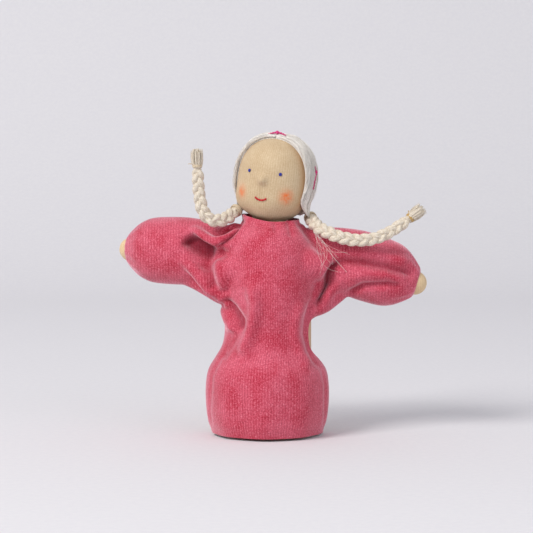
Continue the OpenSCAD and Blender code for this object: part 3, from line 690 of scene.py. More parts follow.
velour, tree, surface, node = finish("velour", 0.9, specular=0.1, sheen=0.95, sheen_tint=(1.0, 0.66, 0.75))
rib = node("ShaderNodeAttribute", attribute_name="rib").outputs["Fac"]
deep = node("ShaderNodeAttribute", attribute_name="crease").outputs["Fac"]
where = node("ShaderNodeTexCoord").outputs["Object"]
tufts = node("ShaderNodeTexNoise", [("Vector", where)], Scale=1900.0, Detail=3.0, Roughness=0.7)
crush = node("ShaderNodeTexNoise", [("Vector", where)], Scale=130.0, Detail=3.0, Roughness=0.55)
waver = scaled(node, crush.outputs["Fac"], 1.1)
phase = node("ShaderNodeMath", [(0, rib), (1, waver)], operation="ADD")
ridge = rib_wave(node, phase.outputs[0])
pile = node("ShaderNodeMix", [("A", ridge), ("B", tufts.outputs["Fac"])], Factor=0.91)
pile_colour = ramp(node, pile.outputs["Result"], [
    (0.32, (142, 27, 46)), (0.46, (184, 53, 74)), (0.58, (213, 93, 114)), (0.71, (239, 149, 165))])
worn = ramp(node, crush.outputs["Fac"], [(0.35, (178, 43, 63)), (0.66, (223, 118, 139))])
rubbed_pile = blended(tree, node, 0.34, pile_colour, worn)
# Deep red mixed in by the crease attribute: painted shade in the fold valleys.
pink = blended(tree, node, deep, rubbed_pile, paint((112, 18, 36)))
tree.links.new(pink, surface.inputs["Base Color"])
embossed(tree, surface, node, pile.outputs["Result"], 0.45, 0.0005)

middle = gown_points[gown_faces].mean(axis=1)
on_sleeve = (np.abs(middle[:, 0]) > SLEEVE_X) & (middle[:, 2] > SLEEVE_Z)
gown_normals = point_normals(gown_points, gown_faces)
turned_over = (gown_normals * skin_normals).sum(axis=-1) < STRAIGHT
gown_normals[turned_over] = skin_normals[turned_over]


def velour_piece(name, faces, ribs):
    """Part of the gown's skin as a walled piece, with the whole gown's normals, so its joins don't show."""
    points, walls, normals, used = walled(gown_points, gown_normals, faces, VELOUR)
    both = np.concatenate([used, used])
    made = piece(name, points, walls, velour, values={"rib": ribs[both], "crease": crease[both]})
    made.data.normals_split_custom_set_from_vertices(normals.tolist())
    return made


round_ribs = turn / 360.0 * RIBS
cross_ribs = gown_points[:, 0] / SLEEVE_RIB
gown = velour_piece("gown_body", gown_faces[~on_sleeve], round_ribs)
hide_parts("gown_front", "gown_back_left", "gown_back_right")
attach(gown, "body")
for hand, side in (("left", 1.0), ("right", -1.0)):
    mine = on_sleeve & (middle[:, 0] * side > 0)
    sleeve = velour_piece(hand + "_stuffed_sleeve", gown_faces[mine], cross_ribs)
    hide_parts(hand + "_sleeve", hand + "_sleeve_head", hand + "_arm")
    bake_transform(sleeve)

# The hands: balls of wool in the same skin-coloured cotton jersey as the head, tied off at the wrist.
# A drawing thread closes the sleeve round each one.
HAND_D, HAND_U, HAND_RIB = 9.2, 38.6, 0.95
BALL_ROWS, BALL_CUT = 40, 34
PLEATS_FROM, PLEATS_RUN = 1.7, 0.6
STUB_R, STUB_FROM, STUB_TO = 2.7, -3.6, -6.2
WRIST_R, WRIST_IN = 4.76, 1.4


def jersey_finish(name, dark, light):
    """Fine rib knit: ribs from the rib attribute, small loops across them, and soft stains of wool below."""
    material, tree, surface, node = finish(name, 0.85, specular=0.2, sheen=0.18, sheen_tint=(1.0, 0.92, 0.82))
    rib = node("ShaderNodeAttribute", attribute_name="rib").outputs["Fac"]
    where = node("ShaderNodeTexCoord").outputs["Object"]
    loops = node("ShaderNodeTexNoise", [("Vector", where)], Scale=1900.0, Detail=2.0)
    stain = node("ShaderNodeTexNoise", [("Vector", where)], Scale=120.0, Detail=3.0, Roughness=0.6)
    drift = node("ShaderNodeMath", [(0, stain.outputs["Fac"]), (1, rib)], operation="ADD")
    ridge = rib_wave(node, drift.outputs[0])
    knit = node("ShaderNodeMix", [("A", ridge), ("B", loops.outputs["Fac"])], Factor=0.82)
    tone = node("ShaderNodeMix", [("A", knit.outputs["Result"]), ("B", stain.outputs["Fac"])], Factor=0.4)
    colour = ramp(node, tone.outputs["Result"], [(0.25, dark), (0.7, light)])
    embossed(tree, surface, node, knit.outputs["Result"], 0.3, 0.0003)
    return material, tree, surface, node, colour


hand_jersey, tree, surface, node, colour = jersey_finish("hand_jersey", (204, 172, 130), (228, 204, 166))
tree.links.new(colour, surface.inputs["Base Color"])
red_thread = yarn_finish("red_thread", (150, 22, 30), (208, 52, 54))
for hand in ("left", "right"):
    t = np.linspace(0.0, np.pi, BALL_ROWS)[:, None]
    a = np.linspace(0.0, 2 * np.pi, 64, endpoint=False)[None, :]
    drawn_in = smooth_step((t - PLEATS_FROM) / PLEATS_RUN)
    pleats = 1.0 + 0.05 * np.cos(11 * a) * drawn_in + 0.012 * np.cos(5 * a + 2 * t)
    ball_r = np.sin(t) * pleats
    ball = 0.5 * HAND_D * np.stack([np.cos(t) + 0.0 * a, ball_r * np.cos(a), ball_r * np.sin(a)], axis=-1)
    stub_u = np.linspace(STUB_FROM, STUB_TO, 6)[:, None] + 0.0 * a
    stub_r = STUB_R + 0.25 * np.cos(9 * a) + 0.0 * stub_u
    stub = np.stack([stub_u, stub_r * np.cos(a), stub_r * np.sin(a)], axis=-1)
    rings = np.concatenate([ball[:BALL_CUT], stub]) + [HAND_U, 0.0, 0.0]
    points, faces = outward(*capped(set_arm(rings, hand)))
    knob = piece(hand + "_hand_knob", points, faces, hand_jersey, values={"rib": points[:, 0] / HAND_RIB})
    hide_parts(hand + "_hand")
    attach(knob, hand + "_arm")
    round_wrist = np.linspace(0.0, 2 * np.pi, 120)
    wrist = WRIST_R * np.stack([0.0 * round_wrist, np.cos(round_wrist), np.sin(round_wrist)], axis=-1)
    wrist = wrist + [HAND_U - WRIST_IN, 0.0, 0.0]
    arm_way = set_arm(np.array([1.0, 0.0, 0.0]), hand) - set_arm(np.zeros(3), hand)
    wrist = twisted(
        set_arm(wrist, hand), strand_r=0.15, offset=0.13, turn=1.2, plies=2, reference=arm_way, sides=6)
    wrist = tube_piece(hand + "_wrist_draw_thread", wrist, red_thread)
    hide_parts(hand + "_wrist_thread")
    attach(wrist, hand + "_arm")

# The neck thread: two-ply red cotton run through the turned-in collar, which it draws up into gathers.
# It is tied at the nape in a small knot.
NECK_THREAD_R, NECK_THREAD_Z = 9.4, 82.94
round_neck = np.linspace(0.0, 2 * np.pi, 240)
ring = NECK_THREAD_R * np.stack([np.sin(round_neck), np.cos(round_neck), 0.0 * round_neck], axis=-1)
ring = ring + [0.0, 0.0, NECK_THREAD_Z]
neck_thread = tube_piece("neck_draw_thread", joined(
    twisted(ring, strand_r=0.2, offset=0.17, turn=1.6, plies=2, reference=(0.0, 0.0, 1.0), sides=6),
    overhand_knot(np.array([0.0, NECK_THREAD_R, NECK_THREAD_Z]), size=0.75, strand_r=0.24, turned=0.6)),
    red_thread)
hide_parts("neck_thread")
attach(neck_thread, "body")

# The head: a ball of wound wool under ribbed cotton jersey, with a small bead of wool for the nose.
# The jersey is tied off in a neck tube that sits on the peg's pin. The cheeks are rubbed with orange crayon,
# and the eyes and the mouth are stitched.
NECK_Z = 82.0
HEAD_R, HEAD_H, HEAD_POWER, HEAD_UP = 14.5, 16.5, 2.2, 17.3
HEAD_LEAN, HEAD_YAW = math.radians(7.0), math.radians(-20.0)
NECK_R, NECK_TOP, NECK_FOOT = 6.4, -12.0, -17.2
HEAD_RIBS = 91.0
EYE_TURN, EYE_Z, EYE_R = 26.0, 2.5, 0.58
NOSE_Z = -0.4
MOUTH_Z, MOUTH_W, MOUTH_BOW = -7.8, 4.3, 42.0
BLUSH_Z, BLUSH_OFF = -5.7, 0.8
LEFT_TEMPLE_SHADE, RIGHT_TEMPLE_SHADE = 1.0, 0.35
EYE_STITCHES, EYE_SPREAD, EYE_THREAD_R = 6, 0.44, 0.12
CHEEK_Z, CHEEK_HALF, CHEEK_OUT = -9.0, 4.5, 1.0
CHEEK_FRONT, CHEEK_RUN = 2.0, 5.0

# Where the jersey stands off the egg: a turn from the middle of the face and a height, how far, and how wide.
# The nose, the chin and the right jaw stand out, and the stitches draw the eyes and the mouth in.
skin_spots = [
    (0.0, NOSE_Z, 2.1, 1.75), (0.0, -14.0, 1.0, 5.5), (-64.0, -10.5, 0.8, 5.0),
    (-EYE_TURN, EYE_Z, -0.22, 1.6), (EYE_TURN, EYE_Z, -0.22, 1.6), (0.0, MOUTH_Z + 0.6, -0.3, 2.2)]

# The rubs of crayon on the cheeks: a turn from the middle of the face, how strong, and how wide.
cheek_rubs = [(40.0, 0.85, 2.5), (-38.5, 0.75, 2.2)]
leaning = np.array([
    [math.cos(HEAD_LEAN), 0.0, math.sin(HEAD_LEAN)], [0.0, 1.0, 0.0],
    [-math.sin(HEAD_LEAN), 0.0, math.cos(HEAD_LEAN)]])
turning = np.array([
    [math.cos(HEAD_YAW), -math.sin(HEAD_YAW), 0.0], [math.sin(HEAD_YAW), math.cos(HEAD_YAW), 0.0],
    [0.0, 0.0, 1.0]])
head_turned = leaning @ turning


def set_head(points):
    """Points about the head's own middle put where the leaning and turned head is."""
    return (points + [0.0, 0.0, HEAD_UP]) @ head_turned.T + [0.0, 0.0, NECK_Z]


def to_head(points):
    """Points of the doll seen from the head's own middle."""
    return (points - [0.0, 0.0, NECK_Z]) @ head_turned - [0.0, 0.0, HEAD_UP]


def head_point(way, lift=0.0):
    """The place on the head in a direction from its middle: the egg (r/R)^n + (z/H)^n = 1, out by lift."""
    way = unit(np.asarray(way, float))
    across, up = np.hypot(way[..., 0], way[..., 1]), np.abs(way[..., 2])
    reach = ((across / HEAD_R) ** HEAD_POWER + (up / HEAD_H) ** HEAD_POWER) ** (-1 / HEAD_POWER)
    return way * (reach + lift)[..., None]


def head_radius(z):
    """The egg's radius at a height from its middle."""
    return HEAD_R * (1 - np.clip(np.abs(z) / HEAD_H, 0, 1) ** HEAD_POWER) ** (1 / HEAD_POWER)


def on_face(turn, z, lift=0.0):
    """A place on the egg's face: its turn from the middle in degrees, its height, and how far off it is."""
    turn, z = np.radians(turn), np.asarray(z, float)
    r = head_radius(z)
    flat = np.stack([r * np.sin(turn), -r * np.cos(turn), z + 0.0 * turn], axis=-1)
    slope = (head_radius(z + 0.1) - head_radius(z - 0.1)) / 0.2
    normal = unit(np.stack([np.sin(turn), -np.cos(turn), -slope + 0.0 * turn], axis=-1))
    return flat + np.asarray(lift)[..., None] * normal


def spot(points, place, wide):
    """1 at a place, falling smoothly to 0 at about twice the width given."""
    return np.exp(-np.sum((points - place) ** 2, axis=-1) / wide ** 2)


def skin_raise(points):
    """How far the jersey stands off the egg: the sum of its spots, and full cheeks round the front."""
    cheeks = np.exp(-((points[..., 2] - CHEEK_Z) / CHEEK_HALF) ** 2)
    total = CHEEK_OUT * cheeks * smooth_step((-points[..., 1] - CHEEK_FRONT) / CHEEK_RUN)
    for turn, z, out, wide in skin_spots:
        total = total + out * spot(points, on_face(turn, z), wide)
    return total


def on_skin(turn, z, lift):
    """A place on the jersey, like on_face but with the jersey's own height added."""
    return on_face(turn, z, lift + skin_raise(on_face(turn, z)))


t = np.linspace(0.0, np.pi, 150)[:, None]
a = np.linspace(0.0, 2 * np.pi, 200, endpoint=False)[None, :]
power = 2 / HEAD_POWER
egg_r = HEAD_R * np.sin(t) ** power
egg_z = HEAD_H * np.sign(np.cos(t)) * np.abs(np.cos(t)) ** power
egg = np.stack([egg_r * np.sin(a), -egg_r * np.cos(a), egg_z + 0.0 * a], axis=-1)
way_out = unit(egg / np.array([HEAD_R ** 2, HEAD_R ** 2, HEAD_H ** 2]))
egg = egg + skin_raise(egg)[..., None] * way_out
points, faces = outward(*capped(egg[1:-1]))
neck_z = np.linspace(NECK_TOP, NECK_FOOT, 14)[:, None]
neck_r = NECK_R + 0.14 * np.cos(22 * a) + 0.0 * neck_z
neck = np.stack([neck_r * np.sin(a), -neck_r * np.cos(a), neck_z + 0.0 * a], axis=-1)
neck_points, neck_faces = outward(*capped(neck))
points, faces = np.concatenate([points, neck_points]), np.concatenate([faces, neck_faces + len(points)])
blush = sum(
    strong * spot(points, on_face(turn, BLUSH_Z, BLUSH_OFF), wide) for turn, strong, wide in cheek_rubs)
# The temples darken to a warm tan at the sides near the hair. This is partly a stain in the jersey and partly
# painted shade, stronger on the doll's left, which is turned from the lamp.
at_side = smooth_step((points[:, 1] + 9.0) / 4.2) * (points[:, 1] < 2.0)
at_height = smooth_step((points[:, 2] + 13.0) / 6.0) * smooth_step((15.0 - points[:, 2]) / 6.0)
temple_stain_and_shade = at_side * at_height * np.where(points[:, 0] > 0, LEFT_TEMPLE_SHADE, RIGHT_TEMPLE_SHADE)
ribs = np.arctan2(points[:, 0], -points[:, 1]) / (2 * np.pi) * HEAD_RIBS
skin_jersey, tree, surface, node, colour = jersey_finish("skin_jersey", (182, 155, 120), (211, 190, 158))
rubbed = node("ShaderNodeAttribute", attribute_name="blush").outputs["Fac"]
shaded = node("ShaderNodeAttribute", attribute_name="temple_stain_and_shade").outputs["Fac"]
where = node("ShaderNodeTexCoord").outputs["Object"]
speck = node("ShaderNodeTexNoise", [("Vector", where)], Scale=900.0, Detail=2.0)
patchy = node("ShaderNodeMath", [(0, rubbed), (1, speck.outputs["Fac"])], operation="MULTIPLY")
cheeks = blended(tree, node, scaled(node, patchy.outputs[0], 1.9, clamp=True), colour, paint((226, 112, 52)))
# Warm tan mixed in at the temples: a stain together with painted shade.
skin_with_temple_shade = blended(tree, node, scaled(node, shaded, 0.6), cheeks, paint((176, 124, 74)))
tree.links.new(skin_with_temple_shade, surface.inputs["Base Color"])
head_marks = {"rib": ribs, "blush": blush, "temple_stain_and_shade": temple_stain_and_shade}
head = piece("head_jersey", set_head(points), faces, skin_jersey, values=head_marks)
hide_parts("head_skin", "head_core", "nose_bead")
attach(head, "head")


def wound_thread(centre, along, ring_r, thread_r, turns, width, tail=0.0):
    """Thread wound round an end: a close helix about a direction, with a loose tail of the length given."""
    along = unit(np.asarray(along, float))
    side = unit(np.cross(along, TO_BACK if abs(along[1]) < 0.9 else (1.0, 0.0, 0.0)))
    depth = np.cross(along, side)
    t = np.linspace(0.0, 1.0, int(22 * turns))
    a = 2 * np.pi * turns * t
    wobble = ring_r + 0.06 * np.sin(3.7 * a)
    path = centre + ((t - 0.5) * width)[:, None] * along + (
        (wobble * np.cos(a))[:, None] * side + (wobble * np.sin(a))[:, None] * depth)
    wound = tubes(path, thread_r, 7, along + 0.013)
    if tail == 0.0:
        return wound
    u = np.linspace(0.0, 1.0, 10)[:, None]
    loose = path[-1] + u * unit(side + 0.7 * along) * tail - u * u * np.array([0.0, 0.3, 0.9])
    return joined(wound, tubes(loose, thread_r * (1 - 0.4 * u[:, 0]), 7, (0.3, 1.0, 0.2)))


neck_tie = wound_thread(
    set_head(np.array([0.0, 0.0, NECK_FOOT + 1.2])), head_turned @ [0.0, 0.0, 1.0],
    ring_r=6.8, thread_r=0.3, turns=3.0, width=1.3)
neck_tie = tube_piece("neck_tube_thread", neck_tie, linen)
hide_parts("head_tie")
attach(neck_tie, "head")

navy_thread = yarn_finish("navy_thread", (26, 32, 110), (58, 68, 170))
for hand, turn_to in (("left", EYE_TURN), ("right", -EYE_TURN)):
    stitches = []
    for step in np.linspace(-EYE_SPREAD, EYE_SPREAD, EYE_STITCHES):
        s = np.linspace(-1.0, 1.0, 12)
        half = math.sqrt(EYE_R ** 2 - step ** 2)
        lift = 0.12 + 0.3 * np.sqrt(np.maximum(0.0, 1 - 0.9 * s ** 2)) * (1 - 0.5 * (step / EYE_R) ** 2)
        stitches.append(on_skin(turn_to + np.degrees(step / HEAD_R) + 0.0 * s, EYE_Z + half * s, lift))
    eye = tubes(set_head(np.array(stitches)), EYE_THREAD_R, 8, head_turned @ [1.0, 0.2, 0.0])
    eye = tube_piece(hand + "_eye_stitches", eye, navy_thread)
    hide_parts(hand + "_eye")
    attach(eye, "head")

bow = np.radians(np.linspace(-MOUTH_BOW, MOUTH_BOW, 60))
bow_r = 0.5 * MOUTH_W / math.sin(math.radians(MOUTH_BOW))
mouth_x, mouth_z = bow_r * np.sin(bow), MOUTH_Z + bow_r * (1 - np.cos(bow))
mouth = on_skin(np.degrees(np.arcsin(mouth_x / head_radius(mouth_z))), mouth_z, 0.14)
mouth = twisted(
    set_head(mouth), strand_r=0.25, offset=0.16, turn=2.2, plies=2,
    reference=head_turned @ [0.0, 1.0, 0.0], sides=8)
mouth = tube_piece("mouth_stitches", mouth, red_thread)
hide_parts("mouth")
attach(mouth, "head")

# The plaits: three strands of soft unbleached cotton yarn each, bound to the hair at the root and with thread
# at the end, where the cut yarn flares into a tuft. They are stiff enough to keep the bend they were given.
PLAIT_D, PLAIT_TURN, PLAIT_TAPER = 5.0, 10.5, 0.16
PLAIT_WIDE, PLAIT_DEEP, STRAND_R = 1.42, 0.78, 1.32
PLAIT_TIE, TIE_R, ROOT_R, ROOT_CORE_R = 1.4, 1.75, 2.3, 2.05
TUFT, TUFT_R, FUZZ_R = 6.0, 1.75, 2.1
right_route = np.array([
    [-13.4, -2.0, 4.9], [-16.4, -5.8, 2.6], [-19.6, -8.0, 1.6], [-23.0, -9.0, 2.2],
    [-25.7, -9.2, 5.4], [-26.9, -9.0, 10.6], [-27.5, -9.0, 16.2], [-27.8, -9.0, 22.0]]) + [0.0, 0.0, NECK_Z]
left_route = np.array([
    [15.8, -1.0, 2.0], [16.6, -5.4, 0.8], [18.9, -9.8, -1.2], [23.2, -12.4, -3.2], [28.8, -13.4, -5.0],
    [34.6, -13.6, -5.6], [40.4, -13.2, -4.8], [45.6, -12.4, -2.6], [50.0, -11.6, 0.2],
    [53.0, -11.0, 2.4]]) + [0.0, 0.0, NECK_Z]
plait_cotton = yarn_finish("plait_cotton", (186, 170, 146), (232, 223, 208))
ochre_thread = yarn_finish("ochre_thread", (150, 116, 62), (205, 172, 112))
root_thread = yarn_finish("root_thread", (184, 164, 134), (224, 208, 182))


def spun_lobes(angle, row):
    """Four soft lobes round a strand, which turn a little from ring to ring."""
    return 1.0 + 0.09 * np.cos(4 * angle + 0.16 * row)


def plait_strands(route):
    """Three strands that pass over each other: sideways a sine of the length, in depth a sine of twice that.
    They close up where the ties grip them, and the plait thins towards its end."""
    path = smooth_route(route, 260)
    s = np.linspace(0.0, 1.0, len(path))
    length = np.linalg.norm(np.diff(path, axis=0), axis=1).sum()
    _, side, depth = frames_along(path, TO_BACK)
    grip = 0.45 + 0.55 * smooth_step(np.minimum(s, 1 - s) * length / 3.0)
    taper = 1.0 - PLAIT_TAPER * s
    strands = []
    for k in range(3):
        t = 2 * np.pi * (s * length / PLAIT_TURN + k / 3)
        sideways = PLAIT_WIDE * taper * grip * np.sin(t)
        deep = PLAIT_DEEP * taper * grip * np.sin(2 * t)
        strands.append(path + sideways[:, None] * side + deep[:, None] * depth)
    radius = STRAND_R * taper * (0.72 + 0.28 * grip)
    return path, length, tubes(np.array(strands), radius, 18, TO_BACK, spun_lobes)


def loose_ends(end, along, root_r, length, count, thick, rng):
    """Cut yarn ends beyond the thread: thin tubes that leave together, spread, and turn in at the tips."""
    along = unit(np.asarray(along, float))
    side = unit(np.cross(along, TO_BACK))
    depth = np.cross(along, side)
    a = rng.uniform(0, 2 * np.pi, count)
    out = np.sqrt(rng.uniform(0.02, 1.0, count))
    t = np.linspace(0.0, 1.0, 12)
    reach = length * rng.uniform(0.6, 1.0, count)
    flare = root_r * (0.74 + 0.5 * np.sin(t * 2.1)) / 1.02
    r = out[:, None] * flare[None, :] + 0.12 * rng.standard_normal((count, 1)) * t[None, :] ** 2
    paths = (
        end
        + (reach[:, None] * t[None, :])[..., None] * along
        + (r * np.cos(a)[:, None])[..., None] * side
        + (r * np.sin(a)[:, None])[..., None] * depth
    )
    radii = thick * rng.uniform(0.75, 1.2, (count, 1)) * (1.0 - 0.2 * t)[None, :]
    return tubes(paths, radii, 7, side + 0.31 * depth)


rng = np.random.default_rng(11)
for hand, route, settle, thread in (
        ("left", left_route, 0.42, ochre_thread), ("right", right_route, 0.45, root_thread)):
    path, length, strands = plait_strands(route)
    end_way = unit(path[-1] - path[-4])
    root_way = unit(path[0] - path[3])
    plait = tube_piece(hand + "_plait_strands", strands, plait_cotton)
    end_tie = wound_thread(
        path[-1] + 0.5 * PLAIT_TIE * end_way, end_way,
        ring_r=TIE_R, thread_r=0.2, turns=5.0, width=1.0, tail=2.0)
    end_tie = tube_piece(hand + "_plait_thread", end_tie, thread)
    root_tie = wound_thread(
        path[0] + 0.5 * PLAIT_TIE * root_way, root_way,
        ring_r=ROOT_R, thread_r=0.26, turns=4.0, width=1.2)
    root_line = path[0] + np.linspace(-0.3, 2.0, 8)[:, None] * root_way
    root_core = tubes(root_line, ROOT_CORE_R, 16, (0.0, 1.0, 0.1))
    root_tie = tube_piece(hand + "_root_thread", joined(root_tie, root_core), root_thread)
    tuft_foot = path[-1] - 0.2 * end_way
    tuft = joined(
        loose_ends(tuft_foot, end_way, TUFT_R, TUFT + PLAIT_TIE, count=60, thick=0.42, rng=rng),
        loose_ends(tuft_foot, end_way, FUZZ_R, TUFT + PLAIT_TIE, count=90, thick=0.09, rng=rng))
    tuft = tube_piece(hand + "_plait_ends", tuft, plait_cotton)
    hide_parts(hand + "_plait")
    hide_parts(hand + "_plait_tie")
    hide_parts(hand + "_root_tie")
    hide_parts(hand + "_plait_tuft")
    for part in (plait, end_tie, tuft):
        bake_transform(part)
    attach(root_tie, "head")

# The hair: combed white wool, parted from the forehead to the nape, laid down both sides of the head and
# gathered into the roots of the plaits. Fine fibres stand off it, and a few hang loose over the gown.
PART_FRONT, PART_BACK = math.radians(-19.5), math.radians(131.0)
CAP_ROWS, CAP_COLUMNS, CAP_THICK = 54, 70, 0.2
LOCKS, WISPS, STRAYS = 170, 640, 11
WISP_R, STRAY_R = 0.075, 0.03
GATHER_FROM = 0.88
UPRIGHT_TO, UPRIGHT_RUN = 0.95, 1.1
COMBED = (0.31, 0.77, 0.55)
hair_wool = yarn_finish("hair_wool", (212, 204, 194), (253, 250, 245), fibre=14.0)


def hair_lines(side, parting, share, lift):
    """Lines of combed hair on one side, from the parting, at an angle back from the crown, to the plait.
    share runs from 0 at the parting to 1 at the root, and lift is the height off the skin. Lines at the front
    keep to upright planes, those at the back go the shortest way round the head, and all are gathered at the
    root."""
    root = to_head(left_route[0] if side > 0 else right_route[0])
    start = np.stack([0.0 * parting, np.sin(parting), np.cos(parting)], axis=-1)
    goal = unit(np.array([root[0], 4.0, root[2]]))
    between = np.arccos(np.clip(start @ goal, -1, 1))[..., None]
    w = share[..., None]
    shortest = (np.sin((1 - w) * between) * start + np.sin(w * between) * goal) / np.sin(between)
    down = share * abs(math.atan2(root[0], root[2]))
    upright = np.stack([
        side * np.cos(parting) * np.sin(down), np.sin(parting) + 0.0 * down,
        np.cos(parting) * np.cos(down)], axis=-1)
    forward = smooth_step((UPRIGHT_TO - parting) / UPRIGHT_RUN)[..., None]
    on_head = head_point(shortest * (1 - forward) + upright * forward, lift)
    gather = smooth_step((share - GATHER_FROM) / (1 - GATHER_FROM))[..., None]
    return on_head * (1 - gather) + (root + 0.35 * (on_head - root) * (1 - 0.75 * gather)) * gather


rng = np.random.default_rng(23)
for side, hand in ((1.0, "left"), (-1.0, "right")):
    parting = np.linspace(PART_FRONT, PART_BACK, CAP_COLUMNS)[None, :] + np.zeros((CAP_ROWS, 1))
    share = np.linspace(0.0, 0.9, CAP_ROWS)[:, None] + np.zeros((1, CAP_COLUMNS))
    grooves = 0.16 * np.sin(parting * 46) + 0.12 * np.sin(parting * 83 + 4 * share)
    from_face = smooth_step((parting - PART_FRONT) / 0.12)
    cap = hair_lines(side, parting, share, (0.2 + 0.5 * from_face) + grooves * from_face)
    cap_points, cap_faces = cap.reshape(-1, 3), grid_faces(CAP_ROWS, CAP_COLUMNS, False)
    normals = point_normals(cap_points, cap_faces)
    if (normals * cap_points).sum() < 0:
        cap_faces, normals = cap_faces[:, ::-1], -normals
    points, faces = walled(cap_points, normals, cap_faces, CAP_THICK)[:2]
    uv = np.stack([parting.ravel() * 9, share.ravel() * 26], axis=-1)
    cap = (points, faces, np.concatenate([uv, uv]))
    share = np.linspace(0.0, 1.0, 32)[None, :]
    locks = np.linspace(PART_FRONT, PART_BACK, LOCKS)[:, None] + rng.normal(0.0, 0.014, (LOCKS, 1))
    wander = 0.06 * np.sin(share * rng.uniform(3, 9, (LOCKS, 1)) + rng.uniform(0, 6, (LOCKS, 1)))
    lift = 0.85 + rng.uniform(-0.35, 0.45, (LOCKS, 1)) + 0.15 * np.sin(share * rng.uniform(4, 12, (LOCKS, 1)))
    locks = np.clip(locks + wander * np.sin(np.pi * share), PART_FRONT, PART_BACK)
    locks = hair_lines(side, locks, share + 0.0 * lift, lift)
    thick = rng.uniform(0.22, 0.5, (LOCKS, 1))
    thick = thick * (0.55 + 0.45 * np.sin(np.pi * np.clip(share * 0.9 + 0.12, 0, 1)))
    along = np.linspace(0.0, 1.0, 10)[None, :]
    share = rng.uniform(0.0, 0.65, (WISPS, 1)) + along * rng.uniform(0.15, 0.34, (WISPS, 1))
    stand_off = 1.2 + rng.uniform(0.0, 0.9, (WISPS, 1)) * np.sin(np.pi * along)
    wisps = PART_FRONT + (PART_BACK - PART_FRONT) * rng.uniform(0, 1, (WISPS, 1)) ** 2.0
    wisps = np.clip(wisps + rng.normal(0, 0.1, (WISPS, 1)) * along, PART_FRONT - 0.07, PART_BACK)
    wisps = hair_lines(side, wisps, share, stand_off)
    points, faces, uv = joined(cap, tubes(locks, thick, 7, COMBED), tubes(wisps, WISP_R, 4, COMBED))
    hair = piece(hand + "_hair", set_head(points), faces, hair_wool, uv=uv)
    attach(hair, "head")
    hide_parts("hair")

# Loose fibres start beside the root of the left plait and hang in shallow bows over the chest.
t = np.linspace(0.0, 1.0, 16)[None, :, None]
top = np.array([17.0, -11.0, 79.5]) + rng.normal(0, 1.0, (STRAYS, 1, 3)) * [0.8, 0.5, 0.6]
tip_x = rng.uniform(17.5, 31.0, STRAYS)
tip_y = rng.uniform(-16.5, -14.5, STRAYS)
tip = np.stack([tip_x, tip_y, rng.uniform(63.5, 73.0, STRAYS)], axis=-1)
belly = rng.normal(0, 1.0, (STRAYS, 1, 3)) * [1.6, 0.3, 1.2] + [0.0, -3.2, -1.0]
fibres = top * (1 - t) + tip[:, None, :] * t + belly * np.sin(np.pi * t)
fibres = tube_piece("stray_fibres", tubes(fibres, STRAY_R, 4, (0.2, 1.0, 0.4)), hair_wool)
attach(fibres, "body")

# The pink knots: short lengths of two-ply wool yarn, one on the crown and one above each plait.
# Each is drawn through the hair and knotted at its middle, and its ends fray.
YARN_R, YARN_OFFSET, YARN_TURN = 0.27, 0.2, 2.2
WOOL_KNOT, WOOL_KNOT_R = 0.55, 0.28
pink_wool = yarn_finish("pink_wool", (176, 30, 92), (232, 84, 146))


def wool_knot(line, middle, name, node_name):
    """A length of two-ply yarn along a line, frayed thinner at both ends, with a small knot at its middle."""
    path = smooth_route(line, 60)
    s = np.abs(np.linspace(-1.0, 1.0, len(path)))
    made = tube_piece(name, joined(
        twisted(set_head(path), YARN_R * (1 - 0.5 * s), YARN_OFFSET, YARN_TURN, 2, (0.3, 1.0, 0.35), sides=8),
        overhand_knot(set_head(np.asarray(middle, float)), WOOL_KNOT, WOOL_KNOT_R, turned=0.4)), pink_wool)
    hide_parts(node_name)
    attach(made, "head")


def over_crown(x, y, up):
    """A place over the crown at (x, y) from the head's middle, up from the height of the egg near there."""
    return [x, y, head_point(np.array([x, y, 15.0]))[2] + up]


def beside_head(side, z, y, out):
    """A place beside the head, at a height and a depth, out from the egg's radius at that height."""
    return [side * (float(head_radius(z)) + out), y, z]


crown_line = [
    over_crown(-3.6, -4.0, 1.5), over_crown(-1.8, -4.5, 1.9), over_crown(0.0, -4.4, 2.2),
    over_crown(1.8, -4.3, 2.1), over_crown(3.8, -4.7, 2.0)]
wool_knot(crown_line, over_crown(0.0, -4.4, 2.2), "crown_wool_knot", "crown_knot")
for side, hand in ((1.0, "left"), (-1.0, "right")):
    side_line = [
        beside_head(side, 7.0, 0.3, 1.7), beside_head(side, 4.8, 0.0, 2.0), beside_head(side, 2.4, -0.4, 1.7),
        beside_head(side, -1.9, -0.9, 1.7)]
    wool_knot(side_line, beside_head(side, 4.8, 0.0, 2.1), hand + "_side_wool_knot", hand + "_side_knot")

# The setting: a pale sweep of paper under and behind the doll, a large soft lamp at the upper left in front,
# and an even grey-lilac surround. The camera stands just above the doll's eyes, a little to one side of the
# peg, with a long lens at about 86 cm that gives 2.58 pixels to the millimetre.
SWEEP_FRONT, SWEEP_FLAT, SWEEP_BEND, SWEEP_WALL, SWEEP_HALF = -900.0, 1500.0, 400.0, 1200.0, 1500.0
SWEEP_ROWS, SWEEP_COLUMNS = 90, 30
VIEW_LENS, VIEW_SENSOR, VIEW_DISTANCE = 150.0, 36.0, 0.861
VIEW_TILT = math.radians(4.2)
VIEW_AIM = Vector((-0.00136, 0.0, 0.06535))
LAMP_AIM = Vector((0.0, 0.0, 0.06))
paper, tree, surface, node = finish("paper", 0.9, specular=0.1)
where = node("ShaderNodeTexCoord").outputs["Object"]
fibre = node("ShaderNodeTexNoise", [("Vector", where)], Scale=400.0, Detail=2.0)
white = ramp(node, fibre.outputs["Fac"], [(0.3, (222, 221, 225)), (0.7, (225, 224, 227))])
tree.links.new(white, surface.inputs["Base Color"])
s = np.linspace(0.0, 1.0, SWEEP_ROWS)[:, None]
x = np.linspace(-SWEEP_HALF, SWEEP_HALF, SWEEP_COLUMNS)[None, :]
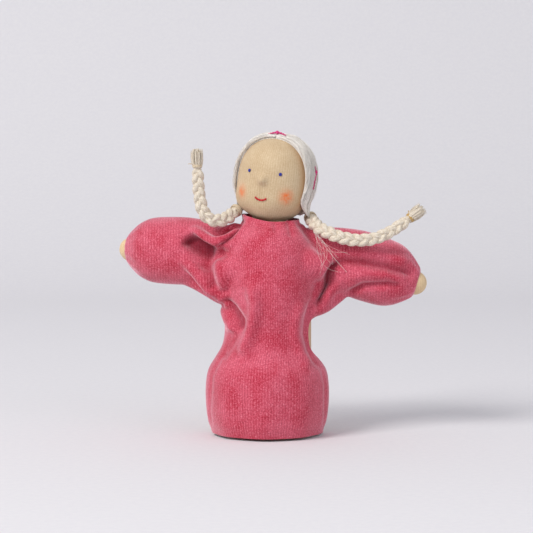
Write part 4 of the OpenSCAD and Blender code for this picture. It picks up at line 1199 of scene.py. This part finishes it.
run = np.clip(s / 0.45, 0.0, 1.0)
bend = np.clip((s - 0.45) / 0.25, 0.0, 1.0) * np.pi / 2
rise = np.clip((s - 0.7) / 0.3, 0.0, 1.0)
sweep_y = SWEEP_FRONT + SWEEP_FLAT * run + SWEEP_BEND * np.sin(bend)
sweep_z = SWEEP_BEND * (1 - np.cos(bend)) + SWEEP_WALL * rise
sweep = np.stack([x + 0.0 * s, sweep_y + 0.0 * x, sweep_z + 0.0 * x], axis=-1).reshape(-1, 3)
sweep = piece("paper_sweep", sweep, grid_faces(SWEEP_ROWS, SWEEP_COLUMNS, False), paper)


def soft_lamp(name, place, size, watts, colour):
    """A square soft lamp that faces the doll's chest."""
    data = bpy.data.lights.new(name, "AREA")
    data.shape = "SQUARE"
    data.size = size
    data.energy = watts
    data.color = colour
    lamp = bpy.data.objects.new(name, data)
    lamp.location = place
    lamp.rotation_euler = (LAMP_AIM - Vector(place)).to_track_quat("-Z", "Y").to_euler()
    bpy.context.scene.collection.objects.link(lamp)


soft_lamp("key_lamp", (-1.12, -1.12, 1.4), size=0.76, watts=29.2, colour=(1.0, 0.98, 0.95))
soft_lamp("fill_lamp", (0.7, -0.8, 0.5), size=0.8, watts=1.6, colour=(0.96, 0.97, 1.0))
world = bpy.data.worlds.new("surround")
bpy.context.scene.world = world
world.use_nodes = True
surround = world.node_tree.nodes["Background"]
surround.inputs["Color"].default_value = (0.93, 0.93, 0.97, 1.0)
surround.inputs["Strength"].default_value = 0.6
bpy.context.scene.view_settings.view_transform = "Standard"

camera_data = bpy.data.cameras.new("camera")
camera_data.lens = VIEW_LENS
camera_data.sensor_width = VIEW_SENSOR
camera = bpy.data.objects.new("camera", camera_data)
bpy.context.scene.collection.objects.link(camera)
camera.location = VIEW_AIM + VIEW_DISTANCE * Vector((0.0, -math.cos(VIEW_TILT), math.sin(VIEW_TILT)))
camera.rotation_euler = (math.pi / 2 - VIEW_TILT, 0.0, 0.0)
bpy.context.scene.camera = camera
